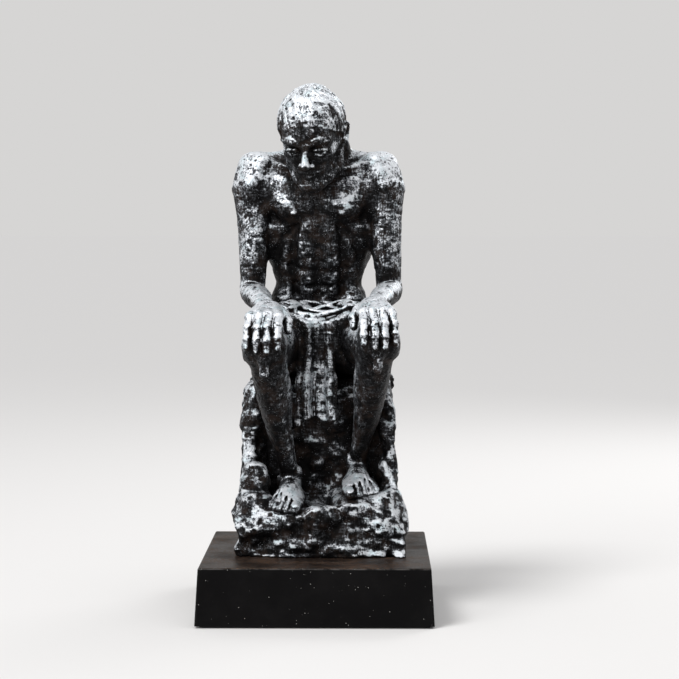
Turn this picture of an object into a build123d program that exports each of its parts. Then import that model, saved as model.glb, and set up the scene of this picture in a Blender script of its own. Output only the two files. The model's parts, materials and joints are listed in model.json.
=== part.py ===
"""Seated figure ornament: a resting man with a lap cloth on a rough rock, bolted to a black plinth.

Millimetres, +Z up, origin at the centre of the felt underside. The figure faces -Y, and its left hand is at +X.
The figure is cast in sections that meet face to face and are held by steel dowels. The rock is a hollow
casting, bolted from inside the hollow plinth, which a board and a felt pad close.
"""

from build123d import *

import os
from math import cos, radians, sin, sqrt

os.makedirs("parts", exist_ok=True)

# Fits
overrun = 2.0                # how far a cutter runs past the face that it opens
glue_gap = 0.1               # round a dowel or an insert
board_clearance = 0.3        # round the base board
ballast_clearance = 0.3      # round the ballast block
bolt_clearance = 0.25        # round a bolt in the plinth's roof

# Felt pad and base board
felt_thickness = 1.0
felt_inset = 2.0
felt_corner_radius = 3.0
board_thickness = 3.0
board_rim = 5.0              # width of the plinth's rim round the board

# Plinth
plinth_width = 108.0
plinth_depth = 126.0
plinth_height = 26.0
plinth_draft = 1.5           # how far each side leans in at the top
plinth_edge_radius = 0.9
plinth_wall = 9.0
plinth_roof = 8.0
corner_boss_size = 12.0

# Board screws, one in each corner boss
screw_radius = 1.4
screw_length = 10.0
screw_head_radius = 2.8
screw_head_height = 1.6
screw_slot_width = 0.8
screw_slot_depth = 0.7

# Fixing bolts, washers and threaded inserts
bolt_radius = 2.5
bolt_engagement = 12.0       # length inside the insert
bolt_head_radius = 4.2
bolt_head_height = 4.0
bolt_socket_radius = 2.0
bolt_socket_depth = 2.2
washer_radius = 6.0
washer_thickness = 1.0
insert_length = 14.0
insert_radius = 4.0
insert_groove_width = 0.8
insert_groove_depth = 0.5
insert_boss_radius = 7.5
bolt_half_spacing = 21.0
bolt_y = 30.0

# Locating dowels between plinth and rock
locating_radius = 2.5
locating_length = 10.0
locating_half_spacing = 24.0
locating_y = -16.0

# Rock seat
rock_half_width = 39.5
ledge_shift = 2.0            # how far the ledge stands towards the figure's left
rock_front_y = -32.0
rock_back_y = 58.0
ledge_height = 20.0          # from the plinth's top to the soles
seat_front_y = 6.0           # front of the upper block, behind the shins
seat_height = 80.0           # from the plinth's top to the seat
rock_cavity_half_width = 29.0
rock_cavity_front_y = 14.0
rock_cavity_back_y = 46.0
rock_crown_thickness = 14.0  # solid rock over the cavity
ballast_half_width = 11.0
ballast_height = 48.0
spur_height = 7.0            # how far the rock rises beside the figure's left hip
spur_half_width = 8.0
spur_half_length = 16.0

# Skeleton, between joint centres
seat_to_hip = 17.0
hip_half_width = 14.5
hip_y = 40.5
thigh_length = 76.0
shin_length = 75.0
ankle_height = 14.0
right_ankle_x = -13.0
right_ankle_y = 2.0
left_ankle_x = 19.0
left_ankle_y = 9.0
left_foot_rise = 6.0         # the left foot stands on a higher step of the rock
shoulder_half_width = 30.5
shoulder_y = 25.0
hip_to_shoulder = 81.0
upper_arm_length = 57.0
forearm_length = 46.0
hand_back_from_knee = 11.0   # from the knee's centre back along the thigh to the wrist
wrist_above_knee = 17.5
neck_base_y = 22.0
hip_to_neck_base = 88.0
skull_x = -2.5
skull_y = 4.0
hip_to_skull = 102.0

# Flesh
thigh_radius = 14.5
knee_radius = 11.0
calf_radius = 10.5
calf_back = 2.5              # how far the calf stands behind the shin's line
upper_arm_radius = 9.0
deltoid_radius = 11.0
forearm_radius = 7.5
torso_half_width = 29.0
torso_half_depth = 16.5
neck_radius = 10.5
neck_back = 3.0              # how far the neck stands behind the line from its base to the skull
skull_half_width = 15.5
skull_half_depth = 19.0
skull_half_height = 17.5
head_bow_angle = 30.0        # degrees, chin towards the chest
head_turn_angle = 12.0       # degrees, towards the figure's right
nose_length = 8.0
nose_radius = 2.3
ear_length = 6.5
ear_thickness = 2.2

# Hands
palm_length = 16.0
palm_half_width = 8.6
palm_half_thickness = 3.8
palm_tilt_angle = 16.0       # degrees down from level
finger_count = 4
finger_radius = 2.1
finger_pitch = 4.3
finger_bone_lengths = (8.5, 6.3, 5.0)
finger_drop_angles = (38.0, 72.0, 88.0)  # degrees below level, one for each bone
thumb_length = 14.0
thumb_radius = 2.4

# Feet
foot_length = 38.0
heel_back = 11.0
foot_half_width = 8.8
heel_half_width = 6.6
toe_radius = 2.1
toe_length = 8.0
foot_splay_angle = 6.0       # degrees outwards

# Lap cloth
cloth_thickness = 2.2
cloth_sag = 4.6              # how far the cloth dips between the thighs
hanging_half_width = 11.0
hanging_drop = 46.0
hanging_thickness = 3.4
hanging_fold_depth = 1.6

# Steel dowels inside the figure
hip_dowel_radius = 2.5
hip_dowel_length = 20.0
shoulder_dowel_radius = 2.0
shoulder_dowel_length = 14.0
neck_dowel_radius = 2.5
neck_dowel_length = 18.0
seat_pin_radius = 2.5
seat_pin_length = 20.0
seat_pin_half_spacing = 8.0
foot_pin_radius = 1.5
foot_pin_length = 12.0
hip_dowel_inset = 2.0        # from the hip's centre towards the middle
shoulder_dowel_inset = 4.4   # from the shoulder's centre towards the middle

# Heights that follow from the sizes above
board_top = felt_thickness + board_thickness
plinth_top = felt_thickness + plinth_height
roof_underside = plinth_top - plinth_roof
ledge_top = plinth_top + ledge_height
seat_top = plinth_top + seat_height
hip_z = seat_top + seat_to_hip

# Directions
UP = Vector(0, 0, 1)
DOWN = Vector(0, 0, -1)
FORWARD = Vector(0, -1, 0)
# A solid that stands on its own base circle
FROM_BASE = (Align.CENTER, Align.CENTER, Align.MIN)

# An oval section: the points that it passes, and the angle of the first in degrees
OVAL_POINTS = 8
OVAL_START_ANGLE = 22.5
# How straight a limb may become, as a share of its full length
REACH_SHARE = 0.999
# Which way the limbs bend: a knee's turn outwards, and the elbow's way outwards, backwards and up
KNEE_SPLAY_SHARE = 0.22
ELBOW_WAY_SHARES = (0.18, 0.8, -0.6)
# Which way a hip dowel runs: forwards for each unit outwards
HIP_DOWEL_FORWARD_SHARE = 1.6
# How far the neck's joint and its dowel lean forwards for each unit up, and how wide the joint's cutter is, of
# the neck's radius
NECK_LEAN_SHARE = 0.5
NECK_CUT_SHARE = 6.0
# A turned limb's end: how far its dome rises, and the point that its arc passes, as shares of the end's radius
DOME_SHARE = 0.6
DOME_SHOULDER_SHARES = (0.72, 0.66)

# Profiles: (share of the bone's length, share of its named radius)
THIGH_SHARES = ((-0.12, 0.70), (0.05, 0.98), (0.30, 1.00), (0.60, 0.86), (0.85, 0.72), (0.98, 0.66))
SHIN_SHARES = ((-0.02, 0.80), (0.12, 0.90), (0.28, 1.00), (0.50, 0.84), (0.75, 0.56), (0.95, 0.50))
UPPER_ARM_SHARES = ((-0.05, 0.80), (0.15, 0.98), (0.45, 1.00), (0.75, 0.82), (1.00, 0.78))
FOREARM_SHARES = ((-0.05, 0.80), (0.15, 1.00), (0.35, 0.98), (0.70, 0.74), (1.00, 0.60))
# Head sections, chin to crown: height as a share of the skull's half height, shares of its half width and half
# depth, and how far forward the centre lies as a share of the half depth
HEAD_SHARES = (
    (-1.36, 0.26, 0.20, 0.66),
    (-1.12, 0.56, 0.44, 0.56),
    (-0.74, 0.74, 0.64, 0.38),
    (-0.30, 0.87, 0.86, 0.16),
    (0.18, 0.98, 1.00, 0.00),
    (0.60, 0.95, 0.96, -0.06),
    (0.92, 0.74, 0.76, -0.08),
    (1.14, 0.36, 0.38, -0.08),
)
NOSE_SHARES = (0.98, -0.10)  # the nose's root: shares of the half depth forward and of the half height up
EAR_SHARES = (0.88, -0.42)   # an ear's foot: shares of the half width out and of the half height up
# Neck sections: share of the way from the neck's base to the skull's centre, and share of the neck's radius
NECK_SHARES = ((-0.50, 1.20), (0.00, 1.06), (0.45, 0.96), (0.90, 0.90))
# Shoulder cap: how far down the upper arm its centre lies, and its half sizes across and along, of its radius
CAP_SHARES = (0.08, 0.92, 1.25)
KNEE_CAP_SHARE = 1.05        # the knee's half length along the thigh, of its radius
SHIN_TILT_SHARE = 0.3        # how much of the calf's set-back is left at the ankle
# Palm sections: shares of its length, half width and half thickness
PALM_SHARES = ((0.0, 0.60, 1.0), (0.55, 0.95, 1.0), (1.0, 1.0, 0.85), (1.12, 0.8, 0.6))
FINGER_SHARES = (0.93, 1.0, 0.96, 0.80)  # each finger's bones, from the first finger to the little one
THUMB_ROOT_SHARES = (0.25, 0.55)         # of the palm's length forwards and half width inwards
THUMB_WAY_SHARES = (0.8, 0.4, 0.45)      # forwards, inwards and down
# Foot sections: share of the length, share of the heel's half width, and the half height and the centre's
# height as shares of the ankle's height
FOOT_SHARES = (
    (0.00, 0.50, 0.44, 0.30),
    (0.12, 0.98, 0.70, 0.34),
    (0.32, 1.00, 0.64, 0.40),
    (0.60, 1.10, 0.51, 0.28),
    (0.82, 1.30, 0.39, 0.16),
    (1.00, 1.15, 0.30, 0.12),
)
# Toes from the big one outwards: share of the foot's half width inwards, of the toe's radius and of its length
TOE_SHARES = (
    (0.72, 1.25, 1.00),
    (0.34, 0.98, 0.96),
    (-0.02, 0.95, 0.86),
    (-0.37, 0.90, 0.74),
    (-0.70, 0.85, 0.60),
)
TOE_ROOT_SHARE = 0.94        # where the toes start, of the foot's length
TOE_LIFT_SHARE = 1.1         # how high the toes' centres lie at the root, of their radius
TOE_DROP_SHARE = 0.3         # how far the toes dip, of their radius
TOE_OVERLAP_SHARE = 0.5      # how far a toe starts inside the foot, of its length
# Lap cloth sections: share of the thigh's length, and share of the thigh's radius
CLOTH_SHARES = ((-0.10, 0.94), (0.10, 1.02), (0.35, 1.00), (0.62, 0.92))
# The cloth's outline round the outside of a thigh, from top to bottom: shares of its radius outwards and up
LAP_SIDE_SHARES = ((-0.05, 1.0), (0.71, 0.71), (1.0, 0.0), (0.71, -0.71), (0.0, -1.0))
# Where the cloth goes round the hips, as torso sections
WRAP_SHARES = ((-0.13, 0.86, 0.84, -0.12), (-0.02, 0.90, 0.98, -0.16), (0.17, 0.81, 0.98, -0.07))
# Torso sections: share of hip_to_neck_base from the hips, share of the half width, share of the half depth,
# and the share of the way from hip_y to neck_base_y
TORSO_SHARES = (
    (-0.17, 0.66, 0.62, -0.10),
    (-0.02, 0.90, 0.98, -0.16),
    (0.125, 0.82, 0.98, -0.09),
    (0.295, 0.74, 0.95, 0.00),
    (0.466, 0.88, 1.04, 0.19),
    (0.636, 1.00, 1.11, 0.36),
    (0.795, 1.04, 1.11, 0.50),
    (0.909, 1.12, 0.98, 0.59),
    (0.989, 0.98, 0.80, 0.62),
    (1.03, 0.50, 0.55, 0.65),
)
# The hanging end: its crests and hollows as shares of the half width and of the fold's depth, and where its top
# and its lower start lie on the thigh's radius
FOLD_SHARES = ((-1.0, 0), (-0.6, -1), (-0.25, 1), (0, -1), (0.35, 1), (0.7, -1), (1.0, 0))
HANGING_TOP_SHARE = 0.55
HANGING_SHORT_SHARE = 0.4
# Rock outline at each level: how far each corner stands out, going round from +X through +Y
ROCK_LEVEL_SHARES = (
    (1.00, 0.98, 1.00, 0.97, 1.00, 0.98, 1.00, 0.99, 0.98, 1.00, 0.97, 1.00),
    (0.99, 1.00, 0.97, 1.00, 0.98, 1.00, 0.96, 1.00, 1.00, 0.97, 1.00, 0.98),
    (0.95, 0.97, 0.95, 0.98, 0.94, 0.96, 0.95, 0.96, 0.95, 0.97, 0.95, 0.96),
    (0.95, 0.97, 0.95, 0.98, 0.94, 0.96, 0.94, 0.92, 0.96, 0.98, 0.95, 0.95),
    (0.93, 0.90, 0.97, 0.92, 0.96, 0.90, 0.92, 0.88, 0.95, 0.90, 0.96, 0.92),
    (0.90, 0.94, 0.90, 0.95, 0.90, 0.92, 0.86, 0.92, 0.88, 0.94, 0.90, 0.94),
    (0.84, 0.86, 0.82, 0.86, 0.80, 0.84, 0.80, 0.82, 0.80, 0.84, 0.82, 0.86),
)
ROCK_HEIGHT_SHARES = (0.0, 0.5, 0.97, 1.03, 0.40, 0.82, 1.0)
LEDGE_LEVELS = 3             # how many of the levels belong to the ledge, with its sloping tread after them
ROCK_BOXINESS = 4.0          # exponent of the rounded rectangle that the corners lie on
ROCK_START_ANGLE = 15.0      # degrees, where the first corner of each level lies
# The step under the left foot: shares of the foot's half width inwards and outwards, and of the ledge's height
STEP_SHARES = (1.3, 1.6, 0.4)
SPUR_INSET_SHARE = 1.6       # from the rock's side to the spur's middle, of the spur's half width
SPUR_CORNER_SHARES = (1.0, 0.85, 1.0, 0.9, 1.0, 0.8)
SPUR_TAPER_SHARES = (1.0, 0.8, 0.45)
GROOVE_SHARES = (0.3, 0.7)   # where the grooves of an insert lie along it
SLOT_REACH_SHARE = 3.0       # a screw slot's cutter, of the head's radius


def unit(v):
    """The vector v at length 1."""
    return v * (1 / v.length)


def between(a, b, share):
    """The point at this share of the way from a to b."""
    return a + (b - a) * share


def bend_point(start, end, first, second, way_out):
    """Where a two-bone limb bends between start and end, on the side that way_out points to."""
    line = end - start
    reach = min(line.length, (first + second) * REACH_SHARE)
    along = (first**2 - second**2 + reach**2) / (2 * reach)
    rise = sqrt(max(first**2 - along**2, 0))
    way = unit(line)
    side = unit(way_out - way * way_out.dot(way))
    return start + way * along + side * rise


def turned(start, end, shares, radius):
    """A limb turned about the line from start to end, with domed ends."""
    length = (end - start).length
    stations = [(radius * wide, length * share) for share, wide in shares]
    side = Spline(*stations)
    low, low_end = dome(stations[0], -DOME_SHARE)
    high, high_end = dome(stations[-1], DOME_SHARE)
    face = make_face(Plane.XZ * (low + side + high + Line(high_end, low_end)))
    return Plane(origin=start, z_dir=end - start) * revolve(face, Axis.Z)


def dome(station, rise_share):
    """The arc that closes a turned limb beyond its last station, and the point where it meets the axis."""
    radius, height = station
    rise = radius * rise_share
    pole = (0, height + rise)
    shoulder = (radius * DOME_SHOULDER_SHARES[0], height + rise * DOME_SHOULDER_SHARES[1])
    return ThreePointArc(station, shoulder, pole), pole


def spheroid(centre, across, along, axis):
    """An ellipsoid of revolution about axis."""
    arc = EllipticalCenterArc((0, 0), across, along, start_angle=-90, arc_size=180)
    face = make_face(Plane.XZ * (arc + Line(arc @ 1, arc @ 0)))
    return Plane(origin=centre, z_dir=axis) * revolve(face, Axis.Z)


def rod(start, axis, radius, length):
    """A plain cylinder from start along axis."""
    return Plane(origin=start, z_dir=axis) * Cylinder(radius, length, align=FROM_BASE)


def capsule(start, end, radius):
    """A rod with half-ball ends."""
    length = (end - start).length
    body = Cylinder(radius, length, align=FROM_BASE) + Sphere(radius) + Pos(0, 0, length) * Sphere(radius)
    return Plane(origin=start, z_dir=end - start) * body


def oval(half_width, half_height):
    """An oval face whose seam lies at the same corner whichever way it is longer, so that lofts don't twist."""
    angles = [radians(OVAL_START_ANGLE + 360 / OVAL_POINTS * k) for k in range(OVAL_POINTS)]
    return make_face(Spline(*[(half_width * cos(a), half_height * sin(a)) for a in angles], periodic=True))


def block(low, high):
    """A box between two corners."""
    size = [b - a for a, b in zip(low, high)]
    return Pos(*low) * Box(*size, align=(Align.MIN, Align.MIN, Align.MIN))


def one_solid(shape):
    """The largest solid of a cut shape, without the crumbs that a curved cut leaves."""
    return max(shape.solids(), key=lambda solid: solid.volume)


def skeleton():
    """Joint centres of the seated figure, by name."""
    joints = {}
    out, back, up = ELBOW_WAY_SHARES
    for name, side, ankle_x, ankle_y, rise in (
        ("right", -1, right_ankle_x, right_ankle_y, 0),
        ("left", 1, left_ankle_x, left_ankle_y, left_foot_rise),
    ):
        hip = Vector(side * hip_half_width, hip_y, hip_z)
        ankle = Vector(ankle_x, ankle_y, ledge_top + rise + ankle_height)
        knee_way = FORWARD + UP + Vector(side * KNEE_SPLAY_SHARE, 0, 0)
        knee = bend_point(hip, ankle, thigh_length, shin_length, knee_way)
        shoulder = Vector(side * shoulder_half_width, shoulder_y, hip_z + hip_to_shoulder)
        wrist = knee - unit(knee - hip) * hand_back_from_knee + UP * wrist_above_knee
        elbow = bend_point(shoulder, wrist, upper_arm_length, forearm_length, Vector(side * out, back, up))
        joints[name] = {
            "side": side, "hip": hip, "knee": knee, "ankle": ankle, "rise": rise,
            "shoulder": shoulder, "elbow": elbow, "wrist": wrist,
        }
    return joints


JOINTS = skeleton()
NECK_BASE = Vector(0, neck_base_y, hip_z + hip_to_neck_base)
SKULL = Vector(skull_x, skull_y, hip_z + hip_to_skull)
NECK_WAY = unit(UP + FORWARD * NECK_LEAN_SHARE)


def torso_section(height, wide, deep, forward, slack=0):
    """The torso's outline at one height, wider and deeper by slack."""
    y = hip_y + (neck_base_y - hip_y) * forward
    z = hip_z + hip_to_neck_base * height
    return Plane(origin=(0, y, z)) * Ellipse(torso_half_width * wide + slack, torso_half_depth * deep + slack)


def above_neck_joint():
    """The space above the flat joint between torso and neck."""
    side = neck_radius * NECK_CUT_SHARE
    return Plane(origin=NECK_BASE, z_dir=NECK_WAY) * Box(side, side, side, align=FROM_BASE)


def make_torso():
    """Pelvis, waist, chest and shoulders, up to the flat joint with the neck."""
    return loft([torso_section(*shares) for shares in TORSO_SHARES]) - above_neck_joint()


def make_neck():
    """The neck, from its flat joint with the torso to inside the skull."""
    way = SKULL - NECK_BASE
    back = unit(UP - unit(way) * UP.dot(unit(way))) * neck_back
    neck = loft([
        Plane(origin=between(NECK_BASE, SKULL, share) + back, z_dir=way) * oval(neck_radius * wide, neck_radius * wide)
        for share, wide in NECK_SHARES
    ])
    return neck & above_neck_joint()


def make_head():
    """Skull, face, nose, ears and neck, bowed and turned a little."""
    sections = []
    for height, wide, deep, forward in HEAD_SHARES:
        centre = Vector(0, -skull_half_depth * forward, skull_half_height * height)
        sections.append(Plane(origin=centre) * oval(skull_half_width * wide, skull_half_depth * deep))
    head = loft(sections)
    nose_top = Vector(0, -skull_half_depth * NOSE_SHARES[0], skull_half_height * NOSE_SHARES[1])
    nose_tip = nose_top + Vector(0, -nose_radius, -nose_length)
    head += capsule(nose_top, nose_tip, nose_radius)
    for side in (-1, 1):
        ear_foot = Vector(side * skull_half_width * EAR_SHARES[0], 0, skull_half_height * EAR_SHARES[1])
        head += capsule(ear_foot, ear_foot + Vector(0, ear_thickness, ear_length), ear_thickness)
    head = Pos(*SKULL) * Rot(0, 0, -head_turn_angle) * Rot(head_bow_angle, 0, 0) * head
    return head + make_neck()


def make_hand(joint):
    """A palm over the knee, with the fingers hanging down in front and the thumb on the inner side."""
    wrist, knee, side = joint["wrist"], joint["knee"], joint["side"]
    forward = unit(unit(Vector(knee.X - wrist.X, knee.Y - wrist.Y, 0)) + FORWARD)
    inwards = forward.cross(UP) * side
    tilt = radians(palm_tilt_angle)
    palm_way = forward * cos(tilt) + DOWN * sin(tilt)
    palm_plane = Plane(origin=wrist, z_dir=palm_way, x_dir=inwards)
    hand = loft([
        palm_plane.offset(palm_length * share) * Ellipse(palm_half_width * wide, palm_half_thickness * thick)
        for share, wide, thick in PALM_SHARES
    ])
    knuckles = wrist + palm_way * palm_length
    for i, size in enumerate(FINGER_SHARES):
        point = knuckles + inwards * (finger_pitch * ((finger_count - 1) / 2 - i))
        for bone, drop in zip(finger_bone_lengths, finger_drop_angles):
            tip = point + (forward * cos(radians(drop)) + DOWN * sin(radians(drop))) * (bone * size)
            hand += capsule(point, tip, finger_radius)
            point = tip
    along, in_ = THUMB_ROOT_SHARES
    thumb_root = wrist + palm_way * (palm_length * along) + inwards * (palm_half_width * in_)
    ahead, aside, lower = THUMB_WAY_SHARES
    thumb_tip = thumb_root + unit(palm_way * ahead + inwards * aside + DOWN * lower) * thumb_length
    return hand + capsule(thumb_root, thumb_tip, thumb_radius)


def make_arm(joint):
    """Shoulder cap, upper arm, forearm and hand."""
    shoulder, elbow, wrist = joint["shoulder"], joint["elbow"], joint["wrist"]
    place, across, along = CAP_SHARES
    cap_centre = between(shoulder, elbow, place)
    arm = spheroid(cap_centre, deltoid_radius * across, deltoid_radius * along, elbow - shoulder)
    arm += turned(shoulder, elbow, UPPER_ARM_SHARES, upper_arm_radius)
    arm += turned(elbow, wrist, FOREARM_SHARES, forearm_radius)
    return arm + make_hand(joint)


def make_foot(joint):
    """A foot standing on the rock, cut flat at the sole."""
    ankle, side = joint["ankle"], joint["side"]
    splay = radians(foot_splay_angle) * side
    forward = Vector(sin(splay), -cos(splay), 0)
    across = Vector(cos(splay), sin(splay), 0)
    heel = ankle - UP * ankle_height - forward * heel_back
    sections = []
    for share, wide, tall, lift in FOOT_SHARES:
        centre = heel + forward * (foot_length * share) + UP * (ankle_height * lift)
        section = oval(heel_half_width * wide, ankle_height * tall)
        sections.append(Plane(origin=centre, z_dir=forward, x_dir=across) * section)
    foot = loft(sections)
    ball = heel + forward * (foot_length * TOE_ROOT_SHARE)
    for inwards, thick, long in TOE_SHARES:
        root = ball - across * (side * foot_half_width * inwards) + UP * (toe_radius * TOE_LIFT_SHARE)
        start = root - forward * (toe_length * TOE_OVERLAP_SHARE)
        tip = root + forward * (toe_length * long) - UP * (toe_radius * TOE_DROP_SHARE)
        foot += capsule(start, tip, toe_radius * thick)
    ground = block(
        (ankle.X - foot_length, ankle.Y - foot_length * 2, heel.Z - ankle_height),
        (ankle.X + foot_length, ankle.Y + foot_length, heel.Z),
    )
    return foot - ground


def make_leg(joint):
    """Thigh, knee, shin with its calf, and foot."""
    hip, knee, ankle = joint["hip"], joint["knee"], joint["ankle"]
    leg = turned(hip, knee, THIGH_SHARES, thigh_radius)
    leg += spheroid(knee, knee_radius, knee_radius * KNEE_CAP_SHARE, knee - hip)
    back = Vector(0, calf_back, 0)
    leg += turned(knee + back, ankle + back * SHIN_TILT_SHARE, SHIN_SHARES, calf_radius)
    return leg + make_foot(joint)


def lap_outline(half_width, radius):
    """The cloth's outline round both thighs, with a sag between them on top."""
    side = [(half_width + radius * across, radius * up) for across, up in LAP_SIDE_SHARES]
    other = [(-x, z) for x, z in reversed(side)]
    return make_face(Spline((0, radius - cloth_sag), *side, (0, -radius), *other, periodic=True))


def make_lap_cloth():
    """A cloth wrapped round the hips and both thighs, with its end hanging between the knees."""
    left, right = JOINTS["left"], JOINTS["right"]
    sections = []
    for share, extra in CLOTH_SHARES:
        a = between(right["hip"], right["knee"], share)
        b = between(left["hip"], left["knee"], share)
        outline = lap_outline((b.X - a.X) / 2, thigh_radius * extra + cloth_thickness)
        sections.append(Plane(origin=between(a, b, 0.5), x_dir=(1, 0, 0), z_dir=FORWARD) * outline)
    front_y = between(left["hip"], left["knee"], CLOTH_SHARES[-1][0]).Y
    wrap = loft([torso_section(*shares, slack=cloth_thickness) for shares in WRAP_SHARES])
    return loft(sections) + wrap + make_hanging_end(front_y, hip_z + thigh_radius * HANGING_TOP_SHARE)


def make_hanging_end(front_y, top_z):
    """The folded end of the cloth, hanging in front of the rock."""
    half = hanging_half_width
    y = front_y - hanging_thickness / 2
    wave = [(half * across, y + hanging_fold_depth * crest) for across, crest in FOLD_SHARES]
    back_y = y + hanging_thickness + hanging_fold_depth
    corners = [wave[-1], (half, back_y), (-half, back_y), wave[0]]
    face = make_face(Spline(*wave) + Polyline(*corners))
    return extrude(Pos(0, 0, top_z - hanging_drop) * face, hanging_drop - thigh_radius * HANGING_SHORT_SHARE)


def rock_corner(angle, half_width, half_depth, share):
    """A corner of a rock outline, on a rounded rectangle."""
    c, s = cos(radians(angle)), sin(radians(angle))
    reach = share / (abs(c) ** ROCK_BOXINESS + abs(s) ** ROCK_BOXINESS) ** (1 / ROCK_BOXINESS)
    return (half_width * c * reach, half_depth * s * reach)


def rock_heights():
    """The height of each rock level: those of the ledge with its tread, then the upper block's."""
    lows = [plinth_top + ledge_height * share for share in ROCK_HEIGHT_SHARES[:LEDGE_LEVELS + 1]]
    upper = seat_height - ledge_height
    return lows + [ledge_top + upper * share for share in ROCK_HEIGHT_SHARES[LEDGE_LEVELS + 1:]]


def make_spur():
    """The lump that rises beside the left hip."""
    x = rock_half_width - spur_half_width * SPUR_INSET_SHARE
    y = hip_y - spur_half_length / 2
    faces = []
    for i, taper in enumerate(SPUR_TAPER_SHARES):
        turns = [radians(360 / len(SPUR_CORNER_SHARES) * k) for k in range(len(SPUR_CORNER_SHARES))]
        corners = [
            (spur_half_width * taper * share * cos(turn), spur_half_length * taper * share * sin(turn))
            for turn, share in zip(turns, SPUR_CORNER_SHARES)
        ]
        z = seat_top + spur_height * (i - 1)
        faces.append(Pos(x, y, z) * make_face(Polyline(*corners, close=True)))
    return loft(faces, ruled=True)


def make_rock_outside():
    """The rough block, with the ledge for the feet in front, a step on it and a spur beside the left hip."""
    faces = []
    for i, (z, shares) in enumerate(zip(rock_heights(), ROCK_LEVEL_SHARES)):
        front = rock_front_y if i < LEDGE_LEVELS else seat_front_y
        half_depth = (rock_back_y - front) / 2
        corners = [
            rock_corner(360 / len(shares) * k + ROCK_START_ANGLE, rock_half_width, half_depth, share)
            for k, share in enumerate(shares)
        ]
        shift = ledge_shift if i < LEDGE_LEVELS else 0
        faces.append(Pos(shift, (front + rock_back_y) / 2, z) * make_face(Polyline(*corners, close=True)))
    inwards, outwards, deep = STEP_SHARES
    step = block(
        (left_ankle_x - foot_half_width * inwards, left_ankle_y - foot_length, ledge_top - ledge_height * deep),
        (left_ankle_x + foot_half_width * outwards, seat_front_y + foot_half_width, ledge_top + left_foot_rise),
    )
    return loft(faces, ruled=True) + step + make_spur()


def make_rock_cavity():
    """The hollow inside the rock, less the bosses that hold the inserts."""
    low = (-rock_cavity_half_width, rock_cavity_front_y, plinth_top - overrun)
    high = (rock_cavity_half_width, rock_cavity_back_y, seat_top - rock_crown_thickness)
    cavity = block(low, high)
    for centre in bolt_centres(plinth_top - overrun * 2):
        cavity -= rod(centre, UP, insert_boss_radius, insert_length + insert_boss_radius + overrun * 2)
    return cavity


def bolt_centres(z):
    """A point on each fixing bolt's axis, at height z."""
    return [Vector(x, bolt_y, z) for x in (-bolt_half_spacing, bolt_half_spacing)]


def make_plinth_outside():
    """The plinth's outside, leaning in a little towards the top."""
    outside = loft([
        Pos(0, 0, felt_thickness) * Rectangle(plinth_width, plinth_depth),
        Pos(0, 0, plinth_top) * Rectangle(plinth_width - plinth_draft * 2, plinth_depth - plinth_draft * 2),
    ], ruled=True)
    upright = [edge for edge in outside.edges() if abs((edge @ 1 - edge @ 0).Z) > plinth_height / 2]
    top = outside.faces().sort_by(Axis.Z)[-1].edges()
    return fillet(upright + list(top), plinth_edge_radius)


def corner_bosses():
    """For each board screw: the signs of its corner, and the centre of its boss."""
    x = plinth_width / 2 - plinth_wall - corner_boss_size / 2
    y = plinth_depth / 2 - plinth_wall - corner_boss_size / 2
    return [(sx, sy, Vector(sx * x, sy * y, 0)) for sx in (-1, 1) for sy in (-1, 1)]


def screw_centres(z):
    """A point on each board screw's axis, at height z."""
    return [centre + UP * z for _, _, centre in corner_bosses()]


def make_plinth():
    """The hollow plinth, with a rebate for the board and holes for bolts, dowels and screws."""
    x, y = plinth_width / 2 - plinth_wall, plinth_depth / 2 - plinth_wall
    hollow = block((-x, -y, board_top), (x, y, roof_underside))
    for sx, sy, centre in corner_bosses():
        inner = centre + Vector(-sx, -sy, 0) * (corner_boss_size / 2) + UP * (board_top - overrun)
        outer = Vector(sx * (x + overrun), sy * (y + overrun), roof_underside + overrun)
        low = [min(a, b) for a, b in zip(inner, outer)]
        high = [max(a, b) for a, b in zip(inner, outer)]
        hollow -= block(low, high)
    rim_x, rim_y = plinth_width / 2 - board_rim, plinth_depth / 2 - board_rim
    rebate = block((-rim_x, -rim_y, felt_thickness - overrun), (rim_x, rim_y, board_top))
    plinth = make_plinth_outside() - hollow - rebate
    for centre in screw_centres(board_top - overrun):
        plinth -= rod(centre, UP, screw_radius, screw_length + overrun)
    for centre in bolt_centres(roof_underside - overrun):
        plinth -= rod(centre, UP, bolt_radius + bolt_clearance, plinth_roof + overrun * 2)
    return plinth - locating_rods(glue_gap)


def locating_rods(gap):
    """The two rods that stop the rock from turning, half in the plinth, wider by gap."""
    return [
        rod(Vector(x, locating_y, plinth_top - locating_length / 2), UP, locating_radius + gap, locating_length)
        for x in (-locating_half_spacing, locating_half_spacing)
    ]


def make_felt():
    """The felt pad, set in a little from the plinth's edge."""
    outline = RectangleRounded(plinth_width - felt_inset * 2, plinth_depth - felt_inset * 2, felt_corner_radius)
    return extrude(outline, felt_thickness)


def make_board():
    """The board that closes the plinth, with a countersunk hole at each corner."""
    x = plinth_width / 2 - board_rim - board_clearance
    y = plinth_depth / 2 - board_rim - board_clearance
    board = block((-x, -y, felt_thickness), (x, y, board_top))
    hole_radius = screw_radius + glue_gap
    seat = Cone(screw_head_radius + glue_gap, hole_radius, screw_head_height, align=FROM_BASE)
    for centre in screw_centres(felt_thickness):
        board -= rod(centre - UP * overrun, UP, hole_radius, board_thickness + overrun * 2)
        board -= Pos(*centre) * seat
    return board


def make_board_screw(centre):
    """A countersunk screw with a plain slot."""
    head = Cone(screw_head_radius, screw_radius, screw_head_height, align=FROM_BASE)
    shank = Cylinder(screw_radius, board_thickness + screw_length - glue_gap, align=FROM_BASE)
    slot = Box(screw_head_radius * SLOT_REACH_SHARE, screw_slot_width, screw_slot_depth * 2)
    return Pos(*centre) * (head + shank - slot)


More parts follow.
